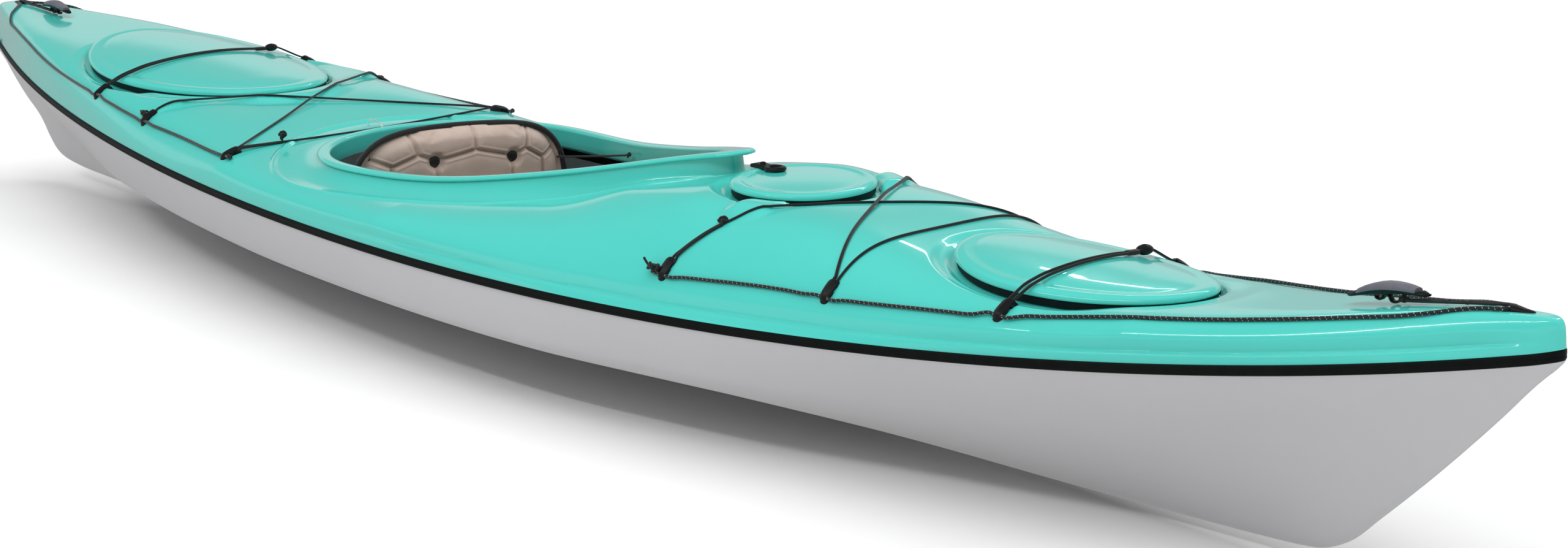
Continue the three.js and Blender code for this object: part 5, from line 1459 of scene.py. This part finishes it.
def puffed(ob, pressure, cap, voxel=.005, frames=20, hold=(1, 1, 1), fine=1):
    """Fills a closed form like a cushion: cloth under inner pressure, its travel capped, then subdivision."""
    me = ob.data.copy()
    work = bpy.data.objects.new("work", me)
    ROOT.objects.link(work)
    rm = work.modifiers.new("remesh", "REMESH")
    rm.mode, rm.voxel_size = "VOXEL", voxel
    dg = bpy.context.evaluated_depsgraph_get()
    me2 = bpy.data.meshes.new_from_object(work.evaluated_get(dg))
    work.modifiers.clear()
    work.data = me2
    start = np.array([v.co[:] for v in me2.vertices])
    cl = work.modifiers.new("cloth", "CLOTH")
    s = cl.settings
    s.quality = 6
    s.mass = .25
    s.tension_stiffness = s.compression_stiffness = 18
    s.shear_stiffness = 8
    s.bending_stiffness = .6
    s.use_pressure = True
    s.uniform_pressure_force = pressure
    s.effector_weights.gravity = 0
    cl.point_cache.frame_start, cl.point_cache.frame_end = 1, frames
    for fr in range(1, frames + 1):
        bpy.context.scene.frame_set(fr)
    dg = bpy.context.evaluated_depsgraph_get()
    me3 = bpy.data.meshes.new_from_object(work.evaluated_get(dg))
    work.modifiers.clear()
    work.data = me3
    end = np.array([v.co[:] for v in me3.vertices])
    move = (end - start) * np.array(hold)
    l = np.linalg.norm(move, axis=1)
    k = np.where(l > cap, cap / np.maximum(l, 1e-9), 1.0)[:, None]
    me3.vertices.foreach_set("co", (start + move * k).ravel())
    bpy.context.scene.frame_set(1)
    sb = work.modifiers.new("round", "SUBSURF")
    sb.levels = sb.render_levels = fine
    dg = bpy.context.evaluated_depsgraph_get()
    out = bpy.data.meshes.new_from_object(work.evaluated_get(dg))
    bpy.data.objects.remove(work, do_unlink=True)
    ob.data = out
    out.shade_smooth()
    return ob


HALF_BACK = [(0, 301.5), (45, 300.8), (85, 298.2), (118, 292.6), (144, 282.5), (163, 267), (176, 247), (183, 224), (186, 198), (185, 172), (180, 146), (168, 124), (146, 109), (110, 104), (50, 103)]
back_out = smooth_path(np.array([(y, z, 0) for y, z in HALF_BACK] + [(-y, z, 0) for y, z in HALF_BACK[:0:-1]]), 8, True)[:, :2]
back_out = soften(resample(back_out, 300, True), 6)
back_ring = back_out[::-1]
SEAMS = [[(0, 300), (0, 264)], [(106, 296), (96, 259)], [(-106, 296), (-96, 259)],
         [(176, 250), (159, 254), (132, 241), (96, 259), (69, 249), (0, 264), (-69, 249), (-96, 259), (-132, 241), (-159, 254), (-176, 250)],
         [(69, 249), (66, 196), (72, 108)], [(-69, 249), (-66, 196), (-72, 108)], [(132, 241), (135, 190), (128, 112)], [(-132, 241), (-135, 190), (-128, 112)]]


def seam_distance(p):
    d = np.full(len(p), 1e9)
    for line_ in SEAMS:
        pts = np.array(line_, float)
        for a, b in zip(pts[:-1], pts[1:]):
            ab = b - a
            t = np.clip(((p - a) @ ab) / (ab @ ab), 0, 1)
            d = np.minimum(d, np.linalg.norm(p - a - t[:, None] * ab, axis=1))
    return d


def skewed(v):                   # the backrest hangs a little askew on its two cords
    v = np.array(v, float)
    v[:, 1] = np.where(v[:, 1] < -80, -80 + (v[:, 1] + 80) * 1.2, np.where(v[:, 1] > 80, 80 + (v[:, 1] - 80) * .92, v[:, 1]))
    c = np.array([-190.0, 0, 200.0])
    q = v - c
    rx, rz = math.radians(-3.2), math.radians(-7.5)
    y, z = q[:, 1] * math.cos(rx) - q[:, 2] * math.sin(rx), q[:, 1] * math.sin(rx) + q[:, 2] * math.cos(rx)
    x, y = q[:, 0] * math.cos(rz) - y * math.sin(rz), q[:, 0] * math.sin(rz) + y * math.cos(rz)
    return np.stack([x, y, z], 1) + c


def edge_of_back(k):             # outline pulled in by k mm
    n_ = ring_normals(back_out)
    sgn = -1 if ((back_out - back_out.mean(0)) * n_).sum() > 0 else 1
    return back_out + n_ * sgn * k


pad_rings = []
for k_, x_ in ((60, -200.5), (10, -201), (2.5, -200.5), (0.4, -198.8), (0.2, -196.5), (2.0, -193.6), (6, -190.4), (14, -187.2), (30, -185.2)):
    o = edge_of_back(k_) if k_ < 20 else (back_out - [0, 203]) * (1 - k_ / 190) + [0, 203]
    pad_rings.append(np.c_[np.full(len(o), x_), o])
for k_ in (.6, .35, .12, .01):
    o = (back_out - [0, 203]) * k_ + [0, 203]
    pad_rings.append(np.c_[np.full(len(o), -184.4), o])
v_, f_ = loft_mesh(np.array(pad_rings))
pad = turn_out(new_object("backrest_pad_cover", v_, f_))
puffed(pad, 4.0, .006, hold=(1, .12, .12), fine=2)
co = np.array([v.co[:] for v in pad.data.vertices]) * 1000
co[:, 1] *= 1.002
co[:, 2] = 203 + (co[:, 2] - 203) * 1.026
nrm = np.array([v.normal[:] for v in pad.data.vertices])
front = step(.15, .6, nrm[:, 0])
p2 = co[:, 1:]
d_edge, _ = distance(p2, back_out)
d_edge = np.abs(d_edge)
ds_ = seam_distance(p2)
bulge = 5.4 * (1 - np.exp(-(ds_ / 8.0) ** 1.4)) * (1 - np.exp(-(d_edge / 10.0) ** 1.4))
ridge = 1.7 * np.exp(-((ds_ - 5.6) / 1.9) ** 2)
groove = -4.2 * np.exp(-(ds_ / 2.0) ** 2)
base_x = 3.0 - .0009 * co[:, 1] ** 2 + 9.0 * (1 - np.exp(-(d_edge / 24.0) ** 1.2))
co[:, 0] += front * (base_x + bulge + ridge + groove)
btn = np.minimum(np.hypot(co[:, 1] - 70, co[:, 2] - 247), np.hypot(co[:, 1] + 70, co[:, 2] - 247))
dip = front * np.exp(-(btn / 13.0) ** 4)
co[:, 0] = co[:, 0] * (1 - dip) - 180.0 * dip
co = skewed(co)
pad.data.vertices.foreach_set("co", (co * .001).ravel())
pad.data.materials.clear()
pad.data.materials.append(TAUPE)
pad.data.update()
place(pad, "backrest", "backrest_pad")
inner_edge = edge_of_back(-.4)
pip = np.c_[np.full(len(inner_edge), -197.2), inner_edge]
v_, f_, uv_ = tube_arrays(skewed(pip), 5.2, 14, closed=True, flat=.9)
ob = new_object("backrest_piping", v_, f_, PIPING, uv=uv_)
place(ob, "backrest", "backrest_pad")

# stiff panel behind the pad, with a rolled rim and two ribs
fr_rings = []
for k_, x_ in ((14, -203.4), (11.5, -203.2), (10.4, -204.6), (10.6, -207.2), (12, -208.8), (15, -209.4), (19, -208.8), (23, -207.4), (30, -207.0)):
    o = edge_of_back(k_) if k_ < 24 else (back_out - [0, 203]) * .80 + [0, 203]
    fr_rings.append(np.c_[np.full(len(o), x_), o])
for k_ in (.5, .2, .01):
    fr_rings.append(np.c_[np.full(len(back_out), -207.0), (back_out - [0, 203]) * k_ + [0, 203]])
v_, f_ = loft_mesh(np.array(fr_rings))
parts = [(skewed(v_), f_)]


def rib(y0_, y1_, z0_, z1_, x0_, x1_, r=4.0):
    o = []
    for cy, cz, a0 in ((y1_ - r, z1_ - r, 0), (y0_ + r, z1_ - r, 90), (y0_ + r, z0_ + r, 180), (y1_ - r, z0_ + r, 270)):
        for a in np.radians(np.linspace(a0, a0 + 90, 6)):
            o.append((cy + r * math.cos(a), cz + r * math.sin(a)))
    o = np.array(o)
    c = o.mean(0)
    rr = []
    for k_, x_ in ((.9, x0_ - .0), (1, x0_ + .8), (1, x1_ - .8), (.93, x1_)):
        rr.append(np.c_[np.full(len(o), x_), c + (o - c) * k_])
    return loft_mesh(np.array(rr))


parts.append(rib(-60, 60, 84, 118, -210, -203.2, 9))
for y_ in (-48, 48):
    v2, f2 = rib(y_ - 9, y_ + 9, 118, 250, -209.8, -206.5, 6)
    parts.append((skewed(v2), f2))
ob = merged("backrest_panel", parts, DARKP, sharp=40)
turn_out(ob)
place(ob, "backrest", "backrest_frame")
for tag, y_ in (("port", 70), ("starboard", -70)):
    th = np.linspace(0, 2 * np.pi, 32, endpoint=False)
    rr = [np.stack([np.full(32, -181.5 + q), y_ + r_ * np.cos(th), 247 + r_ * np.sin(th)], 1) for r_, q in ((4, 0), (9.4, 0), (10, .6), (10, 3.0), (9.3, 4.2), (7.6, 4.9), (4.5, 5.3), (1.0, 5.4))]
    v_, f_ = loft_mesh(np.array(rr))
    ob = turn_out(new_object("backrest_stud_" + tag, skewed(v_), f_, BUTTON, sharp=45))
    place(ob, "backrest", "backrest_button_" + tag)
for tag, s in (("port", 1), ("starboard", -1)):
    end_ = skewed([[-198.0, s * 171.0, 236.0]])[0]
    start_ = np.array([28.0, s * 166.5, 257.0])
    pts = [start_ + (end_ - start_) * q + np.array([0, 0, -3.0 * q * (1 - q)]) for q in np.linspace(0, 1, 9)]
    parts = [tube_arrays(smooth_path(pts, 6), 1.7, 12), tube_arrays(knot_path(start_ + (end_ - start_) * .02, 3.6, .5, .7), 1.6, 10, closed=True)]
    ob = merged("backrest_lace_" + tag, parts, SHOCK)
    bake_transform(ob)
    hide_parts("backrest_cord_" + tag)

# seat cushion with sewn channels
SEAT_UP = [(-158, 97), (-120, 95), (-70, 91), (0, 89), (70, 91), (120, 95), (158, 97)]
cush = []
xc_ = np.array([-140, -138.5, -134, -124, -100, -50, 7, 65, 115, 139, 149, 153.5, 155])
for x_ in xc_:
    e_ = min(x_ + 140, 155 - x_)
    k_ = 1 - .5 * math.exp(-e_ / 3.0) * 1.0
    ins = 6 * math.exp(-e_ / 9.0)
    top_ = [(y * (1 - ins / 158), 79 + (z - 3.5 - 79) * 1.0 if False else z - 3.0) for y, z in SEAT_UP]
    low_ = [(y * (1 - ins / 158), z + .4) for y, z in ((150, 82), (120, 76), (70, 69.5), (0, 67), (-70, 69.5), (-120, 76), (-150, 82))]
    sec = np.array(top_ + low_)
    mid = np.stack([sec[:, 0], np.interp(sec[:, 0], [-158, -120, -70, 0, 70, 120, 158], [90, 86, 80, 78, 80, 86, 90])], 1)
    sec = mid + (sec - mid) * k_
    cush.append(np.c_[np.full(len(sec), x_), sec])
v_, f_ = loft_mesh(np.array(cush))
seat = turn_out(new_object("seat_cushion_cover", v_, f_))
puffed(seat, 4.0, .005)
co = np.array([v.co[:] for v in seat.data.vertices]) * 1000
nrm = np.array([v.normal[:] for v in seat.data.vertices])
upf = step(.2, .7, nrm[:, 2])
x_, y_ = co[:, 0], co[:, 1]
lines_ = np.minimum.reduce([np.abs(y_ - c) for c in (-96, -32, 32, 96)] + [np.abs(x_ - c) for c in (-70, 5, 85)])
edge = np.minimum.reduce([x_ + 141, 156 - x_, 157 - np.abs(y_)])
co[:, 2] += upf * (2.6 * (1 - np.exp(-(lines_ / 10.0) ** 1.4)) * (1 - np.exp(-(np.maximum(edge, 0) / 10.0) ** 1.4)) - 2.6 * np.exp(-(lines_ / 2.4) ** 2))
seat.data.vertices.foreach_set("co", (co * .001).ravel())
seat.data.materials.clear()
seat.data.materials.append(TAUPE)
seat.data.update()
place(seat, "boat", "seat_cushion")

# seat pan, a curved bucket of even thickness
pan_line = smooth_path([(y, z, 0) for y, z in ((-198, 152), (-186, 92), (-150, 72), (-70, 62), (0, 60), (70, 62), (150, 72), (186, 92), (198, 152))], 10)[:, :2]
pt = np.gradient(pan_line, axis=0)
pt /= np.linalg.norm(pt, axis=1)[:, None]
pn = np.stack([-pt[:, 1], pt[:, 0]], 1)
sec = np.vstack([pan_line, (pan_line + pn * 4.4)[::-1]])
rings = []
for x_, g_ in ((-185, -1.6), (-184.2, 0), (-150, 0), (-80, 0), (0, 0), (90, 0), (150, 0), (164.2, 0), (165, -1.6)):
    c = np.array([0, 100.0])
    rings.append(np.c_[np.full(len(sec), x_), sec + (0 if g_ == 0 else 0)])
v_, f_ = loft_mesh(np.array(rings))
parts = [(v_, f_)]
for x_ in (-60, 60):             # stiffening ribs under the pan
    rr = []
    for d_, q in ((-9, .0), (-7, -1.6), (0, -2.6), (7, -1.6), (9, 0)):
        o = np.vstack([pan_line[18:-18] + pn[18:-18] * .5, (pan_line[18:-18] + pn[18:-18] * q)[::-1]])
        rr.append(np.c_[np.full(len(o), x_ + d_), o])
    parts.append(loft_mesh(np.array(rr)))
ob = merged("seat_bucket", parts, DARKP, sharp=40)
turn_out(ob)
place(ob, "boat", "seat_pan")

# thigh pads under the coaming
for tag, s in (("port", 1), ("starboard", -1)):
    rr = []
    for x_, a0, a1, z0_, z1_ in ((252, 150, 204, 221, 236), (256, 147, 206, 219, 241), (268, 143, 210, 218, 245), (300, 138, 209, 220.5, 247.5), (345, 133, 207.5, 223.5, 250), (388, 130, 205, 226, 250.5), (402, 134, 199, 228, 249), (408, 139, 194, 230, 246)):
        ctr = np.array([(a0 + a1) / 2, (z0_ + z1_) / 2 - 3])
        hw, hh = (a1 - a0) / 2, (z1_ - z0_) / 2
        th = np.linspace(0, 2 * np.pi, 28, endpoint=False)
        y = ctr[0] + hw * np.sign(np.cos(th)) * np.abs(np.cos(th)) ** .5
        z = ctr[1] + hh * .86 * np.sign(np.sin(th)) * np.abs(np.sin(th)) ** .5 - (y - ctr[0]) * .12
        rr.append(np.stack([np.full(28, x_), y, z], 1))
    v_, f_ = loft_mesh(np.array(rr))
    if s < 0:
        v_, f_ = mirrored(v_, f_)
    ob = turn_out(new_object("thigh_rest_" + tag, v_, f_, BLACK_FOAM, sharp=60))
    place(ob, "boat", "thigh_pad_" + tag)

# pod under the day hatch
prof_ = [(0.5, 205), (62, 205), (70, 205.4), (76.5, 207.4), (80.5, 211), (84, 221), (88, 233), (91.5, 262), (94, 292.2), (91.2, 292.2), (88.4, 262), (85, 234), (80.8, 221.5), (77, 213.5), (73.5, 210), (68.5, 208.2), (62, 208), (0.5, 208)]
rr = []
for r_, z_ in prof_:
    th = np.linspace(0, 2 * np.pi, 64, endpoint=False)
    rr.append(np.stack([668 + r_ * np.cos(th), r_ * np.sin(th), np.full(64, z_)], 1))
v_, f_ = loft_mesh(np.array(rr))
ob = turn_out(new_object("day_pod", v_, f_, DARKP, sharp=50))
place(ob, "boat", "day_hatch_pod")

# foot braces: channel rails and ribbed pedals
rail_d = np.array([380.0, -68.0, 0]) / math.hypot(380, 68)
rail_o = np.array([-rail_d[1], rail_d[0], 0])
RAIL_AT = np.array([480.0, 288.0, 0])


def on_rail(v):                  # u along the rail, v outboard, z up
    v = np.asarray(v, float)
    return RAIL_AT + v[:, :1] * rail_d + v[:, 1:2] * rail_o + v[:, 2:3] * np.array([0, 0, 1.0])


channel = [(-12, 116.8), (-11.2, 116), (-.8, 116), (0, 116.8), (0, 141.2), (-.8, 142), (-11.2, 142), (-12, 141.2), (-12, 134.4), (-11.2, 133.4), (-4.4, 133.2), (-4, 132.6), (-4, 125.6), (-4.4, 125), (-11.2, 124.6), (-12, 123.6)]
rr = []
for u in np.concatenate([[0, .8], np.linspace(8, 378, 75), [385.2, 386]]):
    rr.append([(u, a, b) for a, b in channel])
v_, f_ = loft_mesh(np.array(rr))
rail_mesh = turn_out(new_object("rail_form", on_rail(v_), f_))
rv = np.array([p.co[:] for p in rail_mesh.data.vertices]) * 1000
rf = [list(p.vertices) for p in rail_mesh.data.polygons]
bpy.data.objects.remove(rail_mesh, do_unlink=True)


def rounded_block(u0, u1, v0, v1, z0, z1, r, face="vz", n=5):
    """Block with rounded edges round its outline in v and z, softened at both ends in u."""
    o = []
    for cv, cz, a0 in ((v1 - r, z1 - r, 0), (v0 + r, z1 - r, 90), (v0 + r, z0 + r, 180), (v1 - r, z0 + r, 270)):
        for a in np.radians(np.linspace(a0, a0 + 90, n)):
            o.append((cv + r * math.cos(a), cz + r * math.sin(a)))
    o = np.array(o)
    c = o.mean(0)
    e_ = min(1.2, (u1 - u0) * .25)
    rr = []
    for u, k_ in ((u0, 1.2), (u0 + e_ * .4, .4), (u0 + e_, 0), (u1 - e_, 0), (u1 - e_ * .4, .4), (u1, 1.2)):
        d_ = o - c
        l_ = np.linalg.norm(d_, axis=1)[:, None]
        rr.append(np.c_[np.full(len(o), u), c + d_ * (1 - k_ / np.maximum(l_, 1))])
    return loft_mesh(np.array(rr))


pieces_ = [rounded_block(164, 196, -26, -12.6, 112, 146, 4), rounded_block(186, 193, -92, -20, 104, 182, 9)]
for z_ in np.arange(112, 178, 9.0):
    pieces_.append(rounded_block(183.6, 187, -88, -26, z_, z_ + 4, 1.8))
pv_ = [(on_rail(a), b) for a, b in pieces_]
for tag, s in (("port", 1), ("starboard", -1)):
    a, b = (rv, rf) if s > 0 else mirrored(rv, rf)
    ob = turn_out(new_object("foot_rail_piece_" + tag, a, b, DARKP, sharp=40))
    place(ob, "boat", "foot_rail_" + tag)
    q = [(a, b) if s > 0 else mirrored(a, b) for a, b in pv_]
    ob = merged("foot_pedal_piece_" + tag, q, FITTING, sharp=40)
    turn_out(ob)
    place(ob, "pedal_" + tag, "foot_pedal_" + tag)

for name in ("fore_bulkhead", "aft_bulkhead", "seat_rail"):
    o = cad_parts[name]
    m_ = GREY if "bulkhead" in name else DARKP
    o.data.materials.clear() if len(o.material_slots) == 0 else None
    for s_ in o.material_slots:
        s_.material = m_

# ------------------------------------------------------------------ floor, light, world
scene = bpy.context.scene
scene.view_settings.view_transform = "Standard"
scene.view_settings.look = "None"
scene.view_settings.exposure = 0
scene.view_settings.gamma = 1


def floor_material():
    k = Nodes("floor_pale")
    f = k.noise(3.0, 2, 0.5)
    k.link(k.ramp(f, [(0.3, (0.86, 0.86, 0.86)), (0.7, (0.885, 0.885, 0.885))]), k.b.inputs["Base Color"])
    k.b.inputs["Roughness"].default_value = 0.9
    k.b.inputs["Specular IOR Level"].default_value = 0.1
    return k.mat


fl = new_object("floor", np.array([[-30000, -30000, -0.6], [30000, -30000, -0.6], [30000, 30000, -0.6], [-30000, 30000, -0.6]]), [[0, 1, 2, 3]], floor_material())
fl.visible_glossy = False

world = bpy.data.worlds.new("studio")
scene.world = world
world.use_nodes = True
wt = world.node_tree
bg = wt.nodes["Background"]
tc = wt.nodes.new("ShaderNodeTexCoord")
sp = wt.nodes.new("ShaderNodeSeparateXYZ")
wt.links.new(tc.outputs["Generated"], sp.inputs["Vector"])
rp = wt.nodes.new("ShaderNodeValToRGB")
e = rp.color_ramp.elements
stops = [(0.0, 1.0), (0.19, 1.0), (0.23, 0.26), (0.5, 0.18), (0.8, 0.22), (1.0, 0.25)]
while len(e) < len(stops):
    e.new(0.5)
for i, (p_, c_) in enumerate(stops):
    e[i].position = p_
    e[i].color = (c_, c_, c_, 1)
wt.links.new(sp.outputs["Z"], rp.inputs["Fac"])
low_ = wt.nodes.new("ShaderNodeValToRGB")        # what the gloss sees near the horizon
e = low_.color_ramp.elements
stops = [(0.0, .42), (0.07, .42), (0.11, .62), (0.27, .62), (0.34, 0.24), (0.5, 0.18), (0.8, 0.22), (1.0, 0.25)]
while len(e) < len(stops):
    e.new(0.5)
for i, (p_, c_) in enumerate(stops):
    e[i].position = p_
    e[i].color = (c_, c_, c_, 1)
wt.links.new(sp.outputs["Z"], low_.inputs["Fac"])
lp = wt.nodes.new("ShaderNodeLightPath")
mx = wt.nodes.new("ShaderNodeMix")
mx.data_type = "RGBA"
wt.links.new(lp.outputs["Is Glossy Ray"], mx.inputs[0])
wt.links.new(rp.outputs["Color"], mx.inputs[6])
wt.links.new(low_.outputs["Color"], mx.inputs[7])
wt.links.new(mx.outputs[2], bg.inputs["Color"])
bg.inputs["Strength"].default_value = 1.0


def softbox(name, loc, target, size, power, glossy=True, size_y=None):
    L = bpy.data.lights.new(name, "AREA")
    L.energy = power
    L.shape = "RECTANGLE"
    L.size, L.size_y = size, size_y or size
    o = bpy.data.objects.new(name, L)
    ROOT.objects.link(o)
    o.location = loc
    o.rotation_mode = "QUATERNION"
    o.rotation_quaternion = (Vector(target) - Vector(loc)).to_track_quat("-Z", "Y")
    o.visible_glossy = glossy
    o.visible_camera = False
    return o


softbox("key", (0.6, -3.2, 3.6), (0.3, 0, 0.2), 4.4, 38, True, 0.13)
softbox("strip", (-0.8, 3.5, 3.0), (-0.5, 0, 0.3), 4.0, 12, True, 0.12)
dome = bpy.data.lights.new("overhead", "SUN")
dome.energy, dome.angle = 2.9, math.radians(96)
dome_ob = bpy.data.objects.new("overhead", dome)
ROOT.objects.link(dome_ob)
dome_ob.rotation_euler = (math.radians(-3), math.radians(4), 0)
dome_ob.visible_glossy = False
